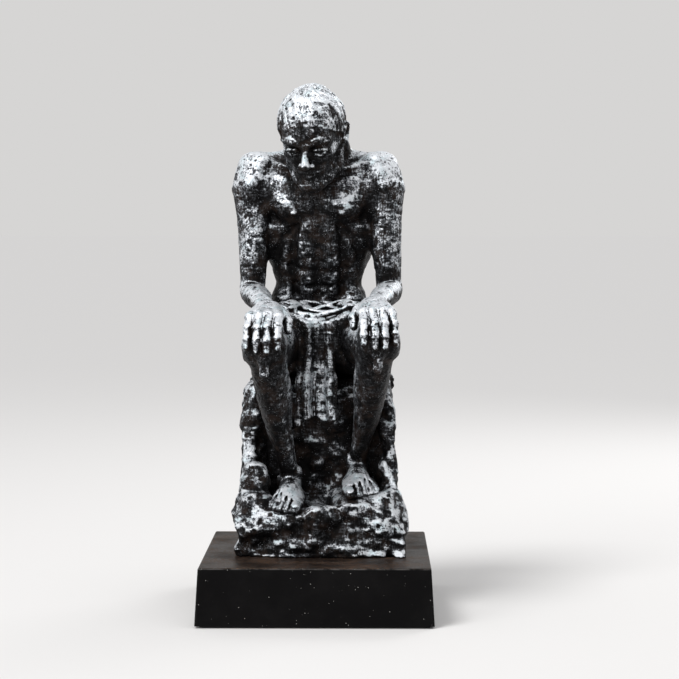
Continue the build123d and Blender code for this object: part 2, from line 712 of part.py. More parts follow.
def make_bolt(centre):
    """A socket-head bolt under a washer, pointing up from inside the plinth; centre is under the washer."""
    head_foot = centre - UP * bolt_head_height
    head = rod(head_foot, UP, bolt_head_radius, bolt_head_height)
    shank = rod(centre, UP, bolt_radius, washer_thickness + plinth_roof + bolt_engagement)
    socket = extrude(RegularPolygon(bolt_socket_radius, 6), bolt_socket_depth)
    return head + shank - Pos(*head_foot) * socket


def make_washer(centre):
    """A flat washer between bolt head and roof."""
    return rod(centre, UP, washer_radius, washer_thickness) - rod(
        centre, UP, bolt_radius + bolt_clearance, washer_thickness
    )


def make_insert(centre):
    """A threaded sleeve moulded into the rock's boss, with two grooves that key it."""
    sleeve = rod(centre, UP, insert_radius, insert_length)
    for share in GROOVE_SHARES:
        foot = centre + UP * (insert_length * share)
        ring = rod(foot, UP, insert_radius + overrun, insert_groove_width)
        sleeve -= ring - rod(foot, UP, insert_radius - insert_groove_depth, insert_groove_width)
    return sleeve - rod(centre, UP, bolt_radius + glue_gap, insert_length)


def make_ballast():
    """The heavy block that stands in the rock on the plinth's top."""
    low = (-ballast_half_width, rock_cavity_front_y + ballast_clearance, plinth_top)
    high = (ballast_half_width, rock_cavity_back_y - ballast_clearance, plinth_top + ballast_height)
    return block(low, high)


def dowel_set(axes, radius, length, gap):
    """Rods centred on each axis, a point and a way, and wider and longer by gap."""
    return [
        rod(centre - unit(way) * (length / 2 + gap), unit(way), radius + gap, length + gap * 2)
        for centre, way in axes
    ]


def dowel_sizes():
    """Each dowel set of the figure: its axes, radius and length."""
    hips = []
    shoulders = []
    feet = []
    for joint in JOINTS.values():
        outwards = Vector(joint["side"], 0, 0)
        hips.append((joint["hip"] - outwards * hip_dowel_inset, outwards + FORWARD * HIP_DOWEL_FORWARD_SHARE))
        shoulders.append((joint["shoulder"] - outwards * shoulder_dowel_inset, outwards))
        feet.append((joint["ankle"] - UP * ankle_height, UP))
    seats = [(Vector(x, hip_y, seat_top), UP) for x in (-seat_pin_half_spacing, seat_pin_half_spacing)]
    return {
        "hip_dowels": (hips, hip_dowel_radius, hip_dowel_length),
        "shoulder_dowels": (shoulders, shoulder_dowel_radius, shoulder_dowel_length),
        "neck_dowel": ([(NECK_BASE, NECK_WAY)], neck_dowel_radius, neck_dowel_length),
        "seat_pins": (seats, seat_pin_radius, seat_pin_length),
        "foot_pins": (feet, foot_pin_radius, foot_pin_length),
    }


def bored(shape, dowels, names):
    """The shape with the holes of these dowel sets, and nothing loose left over."""
    for name in names:
        shape = shape - dowel_set(*dowels[name], glue_gap)
    return one_solid(shape)


def make_rock(dowels, others):
    """The hollow rock, cut to fit the pieces that sit on it, with its inserts' and dowels' holes."""
    rock = make_rock_outside() - others - make_rock_cavity() - locating_rods(glue_gap)
    for centre in bolt_centres(plinth_top - overrun):
        rock -= rod(centre, UP, insert_radius + glue_gap, insert_length + glue_gap + overrun)
    return bored(rock, dowels, ("seat_pins", "foot_pins"))


def make_castings(dowels):
    """The sections of the figure and the rock, each cut to fit the ones before it."""
    torso = make_torso()
    legs = {name: make_leg(joint) - torso for name, joint in JOINTS.items()}
    cloth = make_lap_cloth() - torso - legs["right"] - legs["left"]
    castings = {
        "torso": bored(torso, dowels, ("hip_dowels", "shoulder_dowels", "neck_dowel", "seat_pins")),
        "head": bored(make_head(), dowels, ("neck_dowel",)),
        "lap_cloth": bored(cloth, dowels, ("hip_dowels", "seat_pins")),
        "rock_seat": make_rock(dowels, [torso, legs["right"], legs["left"], cloth]),
    }
    for name, joint in JOINTS.items():
        arm = make_arm(joint) - torso - legs[name] - cloth
        castings[f"{name}_arm"] = bored(arm, dowels, ("shoulder_dowels",))
        castings[f"{name}_leg"] = bored(legs[name], dowels, ("hip_dowels", "seat_pins", "foot_pins"))
    return castings


def save(name, shape):
    """Writes one piece, or a group of alike pieces, as its own file."""
    items = shape if isinstance(shape, list) else [shape]
    solids = [solid for item in items for solid in item.solids()]
    export_step(solids[0] if len(solids) == 1 else Compound(children=solids), f"parts/{name}.step")


def main():
    """Makes and writes every piece."""
    pieces = {
        "felt_pad": make_felt(),
        "base_board": make_board(),
        "board_screws": [make_board_screw(centre) for centre in screw_centres(felt_thickness)],
        "plinth": make_plinth(),
        "fixing_bolts": [make_bolt(centre) for centre in bolt_centres(roof_underside - washer_thickness)],
        "fixing_washers": [make_washer(centre) for centre in bolt_centres(roof_underside - washer_thickness)],
        "threaded_inserts": [make_insert(centre) for centre in bolt_centres(plinth_top)],
        "locating_dowels": locating_rods(0),
        "ballast_block": make_ballast(),
    }
    dowels = dowel_sizes()
    for name, sizes in dowels.items():
        pieces[name] = dowel_set(*sizes, 0)
    pieces.update(make_castings(dowels))
    for name, shape in pieces.items():
        save(name, shape)


main()
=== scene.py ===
"""The looks of a silvered seated figure on a rough rock and a black plinth.

The figure is sculpted as clay in a block of small cells that hold each point's distance from the surface, in
millimetres, and cast piece by piece. Blender's own units are metres.
"""

from __future__ import annotations

import json
import logging
from abc import ABC, abstractmethod
from collections.abc import Iterator
from dataclasses import dataclass, field
from enum import Enum
from itertools import product
from math import cos, pi, radians, sin

import bpy
import numpy as np
import openvdb
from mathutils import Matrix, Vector

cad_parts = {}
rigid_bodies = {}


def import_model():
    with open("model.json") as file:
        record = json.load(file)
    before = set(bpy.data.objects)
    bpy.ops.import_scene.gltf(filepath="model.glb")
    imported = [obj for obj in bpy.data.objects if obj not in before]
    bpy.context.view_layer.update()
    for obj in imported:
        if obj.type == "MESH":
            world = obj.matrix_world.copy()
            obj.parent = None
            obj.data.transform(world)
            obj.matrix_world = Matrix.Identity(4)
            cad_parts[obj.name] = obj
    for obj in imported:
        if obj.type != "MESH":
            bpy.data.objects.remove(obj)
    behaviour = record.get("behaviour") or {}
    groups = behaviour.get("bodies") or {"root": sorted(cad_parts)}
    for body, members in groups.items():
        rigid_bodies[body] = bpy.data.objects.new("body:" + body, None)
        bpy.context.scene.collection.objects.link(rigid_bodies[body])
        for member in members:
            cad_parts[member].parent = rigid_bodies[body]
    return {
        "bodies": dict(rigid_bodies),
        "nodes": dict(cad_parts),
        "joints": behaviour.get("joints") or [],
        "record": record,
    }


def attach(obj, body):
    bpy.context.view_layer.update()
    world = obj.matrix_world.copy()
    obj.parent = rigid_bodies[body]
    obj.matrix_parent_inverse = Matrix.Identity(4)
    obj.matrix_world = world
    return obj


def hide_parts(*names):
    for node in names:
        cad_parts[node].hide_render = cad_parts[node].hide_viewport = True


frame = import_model()
log = logging.getLogger("figure")

MM = 0.001                  # metres in a millimetre
METRE = 1000.0              # millimetres in a metre
FAR = 24.0                  # a distance that stands for nowhere near, in mm
DIVE_SHARE = 0.35           # how steeply a casting dips under its neighbour past their seam
SEAM_LAP = 1.4              # how far it goes on under the neighbour, in mm
BODY = "root"

Point = tuple[float, float, float]
Array = np.ndarray
Window = tuple[slice, ...]
Wire = bpy.types.NodeSocket


def smooth_min(a: Array, b: Array, blend: float) -> Array:
    """Joins the fields a and b with a soft fillet, whose reach is blend in mm."""
    near = np.maximum(blend - np.abs(a - b), 0.0)
    return np.minimum(a, b) - near * near / (4.0 * blend)


def smooth_max(a: Array, b: Array, blend: float) -> Array:
    """Keeps what the fields a and b share, with a soft edge whose reach is blend in mm."""
    return -smooth_min(-a, -b, blend)


def unit(v: Array) -> Array:
    """The vector v at length 1."""
    return v / np.linalg.norm(v)


def dot(p: list[Array], way: Array) -> Array:
    """How far the places p lie along a direction."""
    return p[0] * way[0] + p[1] * way[1] + p[2] * way[2]


def cell_corners(shares: Array | list[Array]) -> Iterator[tuple[tuple[int, ...], Array]]:
    """The eight corners of a cell, from its lowest one, and how much each counts.

    Args:
        shares: how far into the cell the places lie along each axis, from 0 to 1.

    Returns:
        Each corner and its weight, in turn.
    """
    for corner in product((0, 1), repeat=3):
        a, b, c = (share if far else 1 - share for share, far in zip(shares, corner))
        yield corner, a * b * c


def put_in_scene(name: str, data: bpy.types.ID) -> bpy.types.Object:
    """Makes an object and links it to the scene.

    Args:
        name: the object's name.
        data: the mesh, lamp or camera that it carries.

    Returns:
        The object.
    """
    thing = bpy.data.objects.new(name, data)
    bpy.context.scene.collection.objects.link(thing)
    return thing


class Grain:
    """Smooth random values in space, the same in every run."""

    def __init__(self, seed: int, size: float) -> None:
        """Fills the lattice.

        Args:
            seed: which pattern.
            size: distance between two lattice points in mm.
        """
        self.count = 32
        self.size = size
        self.lattice = np.random.default_rng(seed).uniform(-1, 1, (self.count,) * 3).astype(np.float32)

    def at(self, x: Array, y: Array, z: Array) -> Array:
        """The values at these places, from -1 to 1.

        Args:
            x, y, z: the places in mm.

        Returns:
            A value for each place.
        """
        cells, shares = [], []
        for c in (x, y, z):
            scaled = np.asarray(c, np.float32) / self.size
            whole = np.floor(scaled)
            part = scaled - whole
            cells.append(whole.astype(np.int32) % self.count)
            shares.append(part * part * (3 - 2 * part))
        result = 0.0
        for corner, weight in cell_corners(shares):
            place = tuple((cell + far) % self.count for cell, far in zip(cells, corner))
            result = result + self.lattice[place] * weight
        return result


class Form(ABC):
    """A shape that knows its distance from any point, and the box that it lies in."""

    low: Array
    high: Array

    @abstractmethod
    def distance(self, x: Array, y: Array, z: Array) -> Array:
        """Signed distances from the surface at these places, negative inside."""


class Lobe(Form):
    """An ellipsoid, turned any way."""

    def __init__(self, centre: Array, radii: Point, axes: Array | None = None) -> None:
        """Keeps the shape.

        Args:
            centre: its middle in mm.
            radii: half sizes along its axes in mm.
            axes: three unit rows, or None for the world's axes.
        """
        self.centre = np.array(centre, float)
        self.radii = np.array(radii, float)
        self.axes = np.eye(3) if axes is None else np.array(axes, float)
        half = np.sqrt(((self.axes.T * self.radii) ** 2).sum(1))
        self.low, self.high = self.centre - half, self.centre + half

    def distance(self, x: Array, y: Array, z: Array) -> Array:
        """Signed distances, close to exact near the surface.

        Args:
            x, y, z: the places in mm.

        Returns:
            The distances.
        """
        p = [x - self.centre[0], y - self.centre[1], z - self.centre[2]]
        first = second = 0.0
        for axis, radius in zip(self.axes, self.radii):
            q = dot(p, axis) / radius
            first = first + q * q
            second = second + (q / radius) ** 2
        first = np.sqrt(first)
        return first * (first - 1.0) / np.sqrt(second + 1e-12)


class Tube(Form):
    """A round bar along a bent line, whose radius changes from point to point."""

    def __init__(self, points: list, radii: list, flat: float = 1.0, way: Array | None = None) -> None:
        """Keeps the shape.

        Args:
            points: the line's points in mm.
            radii: the bar's radius at each point in mm.
            flat: how thin it is along way, as a share of its radius.
            way: the direction in which it is thinned.
        """
        self.points = [np.array(p, float) for p in points]
        self.radii = [float(r) for r in radii]
        self.flat = flat
        self.way = None if way is None else unit(np.array(way, float))
        reach = np.array(self.radii)[:, None]
        self.low = (np.array(self.points) - reach).min(0)
        self.high = (np.array(self.points) + reach).max(0)

    def distance(self, x: Array, y: Array, z: Array) -> Array:
        """Signed distances, close to exact near the surface.

        Args:
            x, y, z: the places in mm.

        Returns:
            The distances.
        """
        best = None
        for a, b, ra, rb in zip(self.points, self.points[1:], self.radii, self.radii[1:]):
            p = [x - a[0], y - a[1], z - a[2]]
            line = b - a
            if self.way is not None:
                stretch = 1 / self.flat - 1
                off = dot(p, self.way) * stretch
                p = [c + off * w for c, w in zip(p, self.way)]
                line = line + self.way * (line @ self.way) * stretch
            share = np.clip(dot(p, line) / (line @ line), 0, 1)
            gap = np.sqrt(sum((c - share * w) ** 2 for c, w in zip(p, line)))
            found = gap - (ra + (rb - ra) * share)
            best = found if best is None else np.minimum(best, found)
        return best


class Slab(Form):
    """A rounded box, turned any way."""

    def __init__(self, centre: Point, half: Point, rounding: float, axes: Array | None = None) -> None:
        """Keeps the shape.

        Args:
            centre: its middle in mm.
            half: half sizes along its axes in mm.
            rounding: the edges' radius in mm.
            axes: three unit rows, or None for the world's axes.
        """
        self.centre = np.array(centre, float)
        self.half = np.array(half, float)
        self.rounding = rounding
        self.axes = np.eye(3) if axes is None else np.array(axes, float)
        reach = np.abs(self.axes.T * self.half).sum(1)
        self.low, self.high = self.centre - reach, self.centre + reach

    def distance(self, x: Array, y: Array, z: Array) -> Array:
        """Signed distances.

        Args:
            x, y, z: the places in mm.

        Returns:
            The distances.
        """
        p = [x - self.centre[0], y - self.centre[1], z - self.centre[2]]
        total, inner = 0.0, None
        for axis, half in zip(self.axes, self.half):
            q = np.abs(dot(p, axis)) - (half - self.rounding)
            total = total + np.maximum(q, 0) ** 2
            inner = q if inner is None else np.maximum(inner, q)
        return np.sqrt(total) + np.minimum(inner, 0) - self.rounding


@dataclass
class Step:
    """One move of the sculptor: a form added or carved away with a soft edge."""

    form: Form
    blend: float
    carve: bool = False


@dataclass
class Group:
    """Forms that are worked together and then joined to the rest of the figure."""

    name: str
    casting: str
    blend: float
    steps: list[Step] = field(default_factory=list)

    def add(self, form: Form, blend: float) -> None:
        """Adds a form with a fillet of this reach."""
        self.steps.append(Step(form, blend))

    def carve(self, form: Form, blend: float) -> None:
        """Carves a form away with an edge of this reach."""
        self.steps.append(Step(form, blend, carve=True))

    def box(self) -> tuple[Array, Array]:
        """The lowest and highest corner of what was added."""
        added = [step.form for step in self.steps if not step.carve]
        return np.min([f.low for f in added], 0), np.max([f.high for f in added], 0)


class Clay:
    """A block of cells that holds distances from the surface."""

    def __init__(self, low: Array, high: Array, step: float, reach: float) -> None:
        """Makes an empty block.

        Args:
            low: lowest corner in mm.
            high: highest corner in mm.
            step: the cells' size in mm.
            reach: how far outside a form its distances are kept, in mm.
        """
        self.step, self.reach = step, reach
        self.low = np.floor(np.array(low, float) / step) * step
        self.counts = np.ceil((np.array(high, float) - self.low) / step).astype(int) + 1
        self.values = np.full(self.counts, FAR, np.float32)

    def window(self, low: Array, high: Array) -> Window | None:
        """The cells between two corners, or None where there are none.

        Args:
            low: lowest corner in mm.
            high: highest corner in mm.

        Returns:
            A slice along each axis, or None.
        """
        first = np.clip(np.floor((low - self.low) / self.step).astype(int), 0, self.counts)
        last = np.clip(np.ceil((high - self.low) / self.step).astype(int) + 1, 0, self.counts)
        if np.any(last <= first):
            return None
        return tuple(slice(a, b) for a, b in zip(first, last))

    def places(self, window: Window) -> list[Array]:
        """The cells' x, y and z in a window, each ready to combine with the others."""
        axes = [self.low[i] + self.step * np.arange(s.start, s.stop) for i, s in enumerate(window)]
        return np.meshgrid(*(axis.astype(np.float32) for axis in axes), indexing="ij", sparse=True)

    def work(self, step: Step) -> None:
        """Carries out one move of the sculptor.

        Args:
            step: the move.
        """
        margin = step.blend + self.reach
        window = self.window(step.form.low - margin, step.form.high + margin)
        if window is None:
            return
        found = step.form.distance(*self.places(window))
        held = self.values[window]
        if step.carve:
            self.values[window] = smooth_max(held, -found, step.blend)
        else:
            self.values[window] = smooth_min(held, found, step.blend)

    def part(self, group: Group) -> tuple[Window, Array] | None:
        """Works one group by itself.

        Args:
            group: the group.

        Returns:
            The window that it fills and its distances there, or None if it lies elsewhere.
        """
        low, high = group.box()
        window = self.window(low - self.reach * 2, high + self.reach * 2)
        if window is None:
            return None
        corner = self.low + self.step * np.array([s.start for s in window])
        own = Clay(corner, corner, self.step, self.reach)
        own.low = corner
        own.counts = np.array([s.stop - s.start for s in window])
        own.values = np.full(own.counts, FAR, np.float32)
        for step in group.steps:
            own.work(step)
        return window, own.values

    def read(self, points: Array) -> Array:
        """The distances at any points, between the cells.

        Args:
            points: the points in mm, one in each row.

        Returns:
            A distance for each.
        """
        p = (points - self.low) / self.step
        p = np.clip(p, 0, self.counts - 1.001)
        whole = p.astype(np.int32)
        part = (p - whole).astype(np.float32)
        result = 0.0
        for corner, weight in cell_corners(part.T):
            result = result + weight * self.values[tuple((whole + corner).T)]
        return result

    def skin(self) -> tuple[Array, Array]:
        """The surface as corner points in mm and four-sided faces that point outwards.

        Returns:
            The points and the faces.
        """
        grid = openvdb.FloatGrid(background=FAR)
        grid.copyFromArray(np.ascontiguousarray(self.values))
        points, faces = grid.convertToQuads(isovalue=0.0)
        return points * self.step + self.low, faces.astype(np.int64)


@dataclass(frozen=True)
class Frame:
    """A place and three directions that a sculptor works in."""

    origin: Array
    axes: Array

    def point(self, p: Point) -> Array:
        """A point given in this frame, in the world."""
        return self.origin + np.array(p, float) @ self.axes

    def lobe(self, centre: Point, radii: Point, turn: float = 0.0) -> Lobe:
        """An ellipsoid in this frame, turned about its own first axis by some degrees."""
        c, s = cos(radians(turn)), sin(radians(turn))
        return Lobe(self.point(centre), radii, np.array([[1, 0, 0], [0, c, s], [0, -s, c]]) @ self.axes)

    def halves(self) -> tuple[Frame, Frame]:
        """This frame mirrored from side to side, and itself."""
        return Frame(self.origin, self.axes * np.array([[-1], [1], [1]])), self

    def tube(self, points: list, radii: list, flat: float = 1.0, way: Point | None = None) -> Tube:
        """A bar in this frame, thinned along way where flat is under 1."""
        turned = None if way is None else np.array(way, float) @ self.axes
        return Tube([self.point(p) for p in points], radii, flat, turned)


@dataclass(frozen=True)
class Bone:
    """A limb's line from joint to joint. A place on it is (share of its length, outwards, to its front)."""

    start: Point
    end: Point
    front: Point
    side: int

    @property
    def length(self) -> float:
        """From joint to joint in mm."""
        return float(np.linalg.norm(np.subtract(self.end, self.start)))

    @property
    def axes(self) -> Array:
        """Unit rows: outwards, to the front, and along.

        Returns:
            The three rows.
        """
        along = unit(np.subtract(self.end, self.start))
        front = np.array(self.front, float)
        front = unit(front - along * (front @ along))
        out = np.cross(along, front)
        if out[0] * self.side < 0:
            out = -out
        return np.array([out, front, along])

    def point(self, p: Point) -> Array:
        """A place on the limb, in the world."""
        out, front, along = self.axes
        return np.array(self.start) + along * (p[0] * self.length) + out * p[1] + front * p[2]

    def muscle(self, start: Point, end: Point, wide: float, thick: float) -> Lobe:
        """A muscle's belly between two places.

        Args:
            start: where it starts.
            end: where it ends.
            wide: half its width across the limb in mm.
            thick: half its thickness from front to back in mm.

        Returns:
            The muscle.
        """
        a, b = self.point(start), self.point(end)
        along = unit(b - a)
        front = self.axes[1]
        front = unit(front - along * (front @ along))
        axes = np.array([np.cross(along, front), front, along])
        return Lobe((a + b) / 2, (wide, thick, float(np.linalg.norm(b - a)) / 2), axes)

    def tube(self, points: list[Point], radii: list[float], flat: float = 1.0) -> Tube:
        """A bar along the limb, thinned from front to back where flat is under 1."""
        return Tube([self.point(p) for p in points], radii, flat, self.axes[1] if flat < 1 else None)


@dataclass(frozen=True)
class Skeleton:
    """Joint centres of the seated figure in mm, as the castings carry them. It faces -Y."""

    hips: tuple[Point, Point] = ((-14.5, 40.5, 124.0), (14.5, 40.5, 124.0))
    knees: tuple[Point, Point] = ((-23.8, -34.9, 125.4), (28.9, -34.0, 127.6))
    ankles: tuple[Point, Point] = ((-13.0, 2.0, 61.0), (19.0, 9.0, 67.0))
    shoulders: tuple[Point, Point] = ((-30.5, 25.0, 205.0), (30.5, 25.0, 205.0))
    elbows: tuple[Point, Point] = ((-31.4, 20.8, 148.2), (34.2, 22.0, 148.2))
    wrists: tuple[Point, Point] = ((-22.5, -24.0, 142.7), (26.9, -23.2, 144.6))
    neck_base: Point = (0.0, 22.0, 212.0)
    skull: Point = (-2.5, 4.0, 225.6)
    ankle_height: float = 14.0
    bow: float = 30.0
    turn: float = 12.0


SIDES = ((0, -1, "right"), (1, 1, "left"))


@dataclass
class TorsoClay:
    """Pelvis, waist, ribcage and shoulders."""

    bones: Skeleton
    frame: Frame = Frame(np.zeros(3), np.eye(3))

    def group(self) -> Group:
        """The torso's forms, the large ones first.

        Returns:
            The group.
        """
        g = Group("torso", "torso", 4)
        f = self.frame
        g.add(f.lobe((0, 41.4, 126), (25.5, 16.6, 18)), 1)
        g.add(f.tube([(0, 43, 130), (0, 41, 146), (0, 38, 163)], [17.5, 16.8, 18], 0.84, (0, 1, 0)), 6)
        g.add(f.lobe((0, 34, 178), (26.3, 16.6, 27), 14), 7)
        g.add(f.lobe((0, 29.5, 194), (26.3, 14.5, 16), 18), 5)
        g.add(f.tube([(-27, 27, 205), (0, 28, 205.5), (27, 27, 205)], [8.8, 9, 8.8]), 6)
        self._back(g)
        self._front(g)
        self._neck(g)
        return g

    def _back(self, g: Group) -> None:
        """Shoulder blades, the broad back muscles and the furrow of the spine.

        Args:
            g: the group.
        """
        f = self.frame
        g.add(f.lobe((0, 40.5, 198), (13, 6.8, 14), 14), 6)
        for h in f.halves():
            g.add(h.tube([(2, 34, 212), (14, 31.5, 211), (26, 29, 209)], [8, 6.6, 5.6]), 5)
            g.add(h.lobe((15.5, 41.2, 193.5), (9, 6.2, 10.5), 14), 4)
            g.add(h.tube([(9, 44.8, 202.5), (17, 42.2, 205.5), (26, 33, 209)], [2.3, 2.5, 2.6]), 3.5)
            g.add(h.tube([(23, 34.5, 191), (20.5, 39, 175), (13, 44, 155)], [7.6, 8.2, 6]), 6)
            g.add(h.lobe((23.5, 37, 190), (4.6, 5.6, 5.2)), 3)
            g.add(h.tube([(5.6, 47, 186), (6.2, 49.4, 165), (6, 52, 148), (5, 53.6, 134)],
                         [3.6, 4.9, 4.9, 3.8]), 6)
            g.carve(h.tube([(7, 49, 203), (9, 51, 190), (13.5, 52, 178), (20, 48.5, 176)],
                           [0.9, 1.5, 1.5, 1]), 4.5)
            g.carve(h.tube([(13, 48.2, 199.5), (24, 41.5, 202)], [0.9, 0.8]), 4)
            g.carve(h.tube([(13, 54, 165), (16, 53.5, 150)], [1, 1]), 5)
        spine = [(0, 47.3, 207), (0, 50.8, 192), (0, 53.4, 175), (0, 55.4, 158), (0, 58, 142), (0, 60, 132)]
        g.carve(f.tube(spine, [1, 1.7, 2, 2.1, 2.1, 1.3]), 5)

    def _front(self, g: Group) -> None:
        """Chest, belly, ribs and collar bones.

        Args:
            g: the group.
        """
        f = self.frame
        for h in f.halves():
            g.add(h.tube([(4.5, 18.6, 190.5), (13, 18, 189.5), (24, 22.5, 198)], [6.4, 7.5, 5.6]), 3.5)
            g.add(h.tube([(5, 19, 198), (15, 18.8, 199.5), (25, 22.6, 203)], [6, 6, 5]), 4)
            g.add(h.lobe((11.4, 11, 186.2), (1.1, 0.9, 1)), 1.2)
            g.add(h.tube([(2.6, 15, 205), (13, 16, 208.2), (25, 21.4, 210.6)], [1.9, 1.5, 1.9]), 2.4)
            g.carve(h.tube([(8, 14, 211), (19, 16.4, 214)], [2.4, 2]), 4)
            g.carve(h.tube([(1, 13.3, 182.4), (8, 11.6, 181), (16, 13, 183.4)], [0.9, 1.2, 0.9]), 3)
            g.add(h.tube([(4.6, 21.2, 179), (5, 27.2, 161), (4.6, 31.4, 146)], [5.2, 5.4, 5.2]), 6)
            for k in range(4):
                place = (20.8 - 0.9 * k, 23.2 + 2.6 * k, 178 - 6.4 * k)
                g.add(h.lobe(place, (3, 4.2, 2.2), -30), 2.2)
            g.add(h.lobe((17, 36, 143), (6.5, 11.5, 8.5)), 4)
            g.add(h.tube([(13.5, 27.5, 176), (13, 31.5, 161), (11.5, 35, 147)], [8.6, 7.8, 7]), 6)
            g.carve(h.tube([(11.4, 17.6, 177), (12, 22.4, 162), (11, 27.4, 148)], [0.3, 0.4, 0.3]), 4.5)
            g.carve(h.tube([(9, 18, 181), (17, 19.2, 174), (20, 23, 166)], [0.6, 0.9, 0.7]), 3.5)
        g.carve(f.tube([(0, 11.6, 205), (0, 11.6, 196), (0, 12.4, 184)], [0.9, 1.1, 0.8]), 3.2)
        g.carve(f.tube([(0, 13.6, 179), (0, 20.2, 161), (0, 25, 147)], [0.2, 0.3, 0.2]), 5)
        g.carve(f.tube([(-15, 24.6, 162), (-6, 20.6, 158.4), (7, 20.8, 158), (15, 25, 161)],
                       [0.2, 0.5, 0.5, 0.2]), 2.6)
        g.carve(f.tube([(-13, 28.4, 154), (-5, 24.6, 151.2), (5, 24.4, 151.4), (12, 28, 153)],
                       [0.2, 0.4, 0.4, 0.2]), 2.4)
        g.carve(f.lobe((0, 25.3, 147.6), (0.9, 1.2, 1.1)), 1.2)

    def _neck(self, g: Group) -> None:
        """The neck's root, where the shoulder muscles rise to it."""
        _, y, z = self.bones.neck_base
        g.add(self.frame.tube([(0, y + 6, z - 6), (0, y + 2, z + 1)], [13, 10.5]), 6)


@dataclass
class HeadClay:
    """Neck, skull, face, ears and short hair. Places are in the head's own frame: its left, back and up."""

    bones: Skeleton

    def frame(self) -> Frame:
        """The bowed and turned head's frame.

        Returns:
            The frame.
        """
        b, t = radians(self.bones.bow), radians(-self.bones.turn)
        bow = np.array([[1, 0, 0], [0, cos(b), sin(b)], [0, -sin(b), cos(b)]])
        turn = np.array([[cos(t), sin(t), 0], [-sin(t), cos(t), 0], [0, 0, 1]])
        return Frame(np.array(self.bones.skull), bow @ turn)

    def group(self) -> Group:
        """The head's forms, the large ones first.

        Returns:
            The group.
        """
        g = Group("head", "head", 3)
        f = self.frame()
        g.add(f.lobe((0, 1.5, 4.2), (15, 18.6, 15.6)), 1)
        g.add(f.lobe((0, -6.5, 4), (12.6, 11.2, 11.5)), 3)
        g.add(f.lobe((0, -6.2, -9), (10.6, 10.6, 13.5), -6), 4)
        self._neck(g, f)
        self._jaw(g, f)
        self._eyes(g, f)
        self._nose(g, f)
        self._mouth(g, f)
        self._ears(g, f)
        g.add(Hair(f), 0.9)
        return g

    def _neck(self, g: Group, f: Frame) -> None:
        """Neck with its two front muscles, from the shoulders to behind the ears.

        Args:
            g: the group.
            f: the head's frame.
        """
        base = np.array(self.bones.neck_base)
        nape = f.point((0, 9, -8))
        g.add(Tube([base + (0, 6, -3), nape], [11.5, 10]), 4)
        g.add(Tube([base + (0, -1, -4), f.point((0, 0.5, -12))], [9.5, 8]), 4)
        for s in (-1, 1):
            g.add(Tube([(s * 2.4, 14.5, 206.5), f.point((s * 11.5, 6.5, -9.5))], [2, 2.8]), 2.4)
            g.add(Tube([(s * 12, 30, 211), f.point((s * 8.5, 12.5, -6))], [5, 4.5]), 3.5)

    def _jaw(self, g: Group, f: Frame) -> None:
        """Jaw line, chin and cheek bones.

        Args:
            g: the group.
            f: the head's frame.
        """
        g.add(f.lobe((0, -14.2, -21.2), (4.6, 3.8, 3.4)), 3)
        g.carve(f.tube([(-3, -18.6, -18.2), (0, -18.9, -18), (3, -18.6, -18.2)], [0.7, 0.9, 0.7]), 2)
        for h in f.halves():
            jaw = [(12, 1, -8), (10.8, -2.5, -15.5), (7, -9.5, -20), (2.5, -14.2, -21.8)]
            g.add(h.tube(jaw, [2.2, 3.2, 3.2, 3.2]), 3)
            g.add(h.tube([(12.4, -3, -4.2), (9.6, -11.2, -6), (6.5, -13.8, -7.8)], [1.9, 2.7, 2.2]), 2.6)
            g.carve(h.lobe((11.8, -11.5, -14), (2.6, 3.2, 4.2)), 4)
            g.carve(h.lobe((14.6, -8.5, 1), (1.6, 3.6, 4)), 4)

    def _eyes(self, g: Group, f: Frame) -> None:
        """Brows, sockets, and eyes with lowered lids.

        Args:
            g: the group.
            f: the head's frame.
        """
        for h in f.halves():
            g.carve(h.lobe((6, -17.9, -2.6), (4.6, 3.6, 3)), 2.4)
            g.add(h.tube([(2.2, -16.6, 1.2), (6.4, -16.1, 2.5), (10.6, -12.3, 0.9)], [1.6, 1.7, 1.3]), 1.8)
            g.add(h.lobe((6, -13.3, -2.8), (3.2, 3, 2.8)), 0.7)
            lid = [(2.7, -15.3, -3.6), (4.6, -16.6, -1.7), (7, -16.5, -1.6), (9.4, -14.3, -3)]
            g.add(h.tube(lid, [0.5, 0.75, 0.75, 0.5]), 0.9)
            low = [(2.9, -15.2, -4), (5, -16.1, -5), (7.4, -15.9, -4.9), (9.4, -14.2, -3.6)]
            g.add(h.tube(low, [0.4, 0.6, 0.6, 0.4]), 0.8)
            slit = [(3, -16, -3.9), (5, -17.1, -4.15), (7.4, -16.9, -4.1), (9.2, -14.9, -3.4)]
            g.carve(h.tube(slit, [0.3, 0.42, 0.42, 0.3]), 0.5)
            for k in range(7):
                share = k / 6
                at = (2.6 + 7.2 * share, -17.9 + 4.6 * share ** 2.2,
                      2.5 + 1.5 * sin(pi * min(share * 1.2, 1)))
                end = (at[0] + 1.5, at[1] + 0.5, at[2] + 0.5)
                g.add(h.tube([at, end], [0.42, 0.2]), 0.5)

    def _nose(self, g: Group, f: Frame) -> None:
        """Bridge, tip, wings and nostrils.

        Args:
            g: the group.
            f: the head's frame.
        """
        g.add(f.tube([(0, -15.6, 0.6), (0, -17.6, -2.6), (0, -20.6, -8)], [1.6, 1.35, 1.7]), 1.8)
        g.add(f.lobe((0, -20.6, -8.6), (2, 2, 1.7)), 1.2)
        for h in f.halves():
            g.add(h.lobe((2.5, -18, -9.2), (1.5, 2.1, 1.5)), 0.9)
            g.carve(h.tube([(1.2, -19.6, -10.8), (1.5, -18.6, -9.8)], [0.65, 0.6]), 0.5)
            g.carve(h.tube([(4, -17.3, -9.2), (6.2, -15.6, -13.2)], [0.45, 0.35]), 1.8)

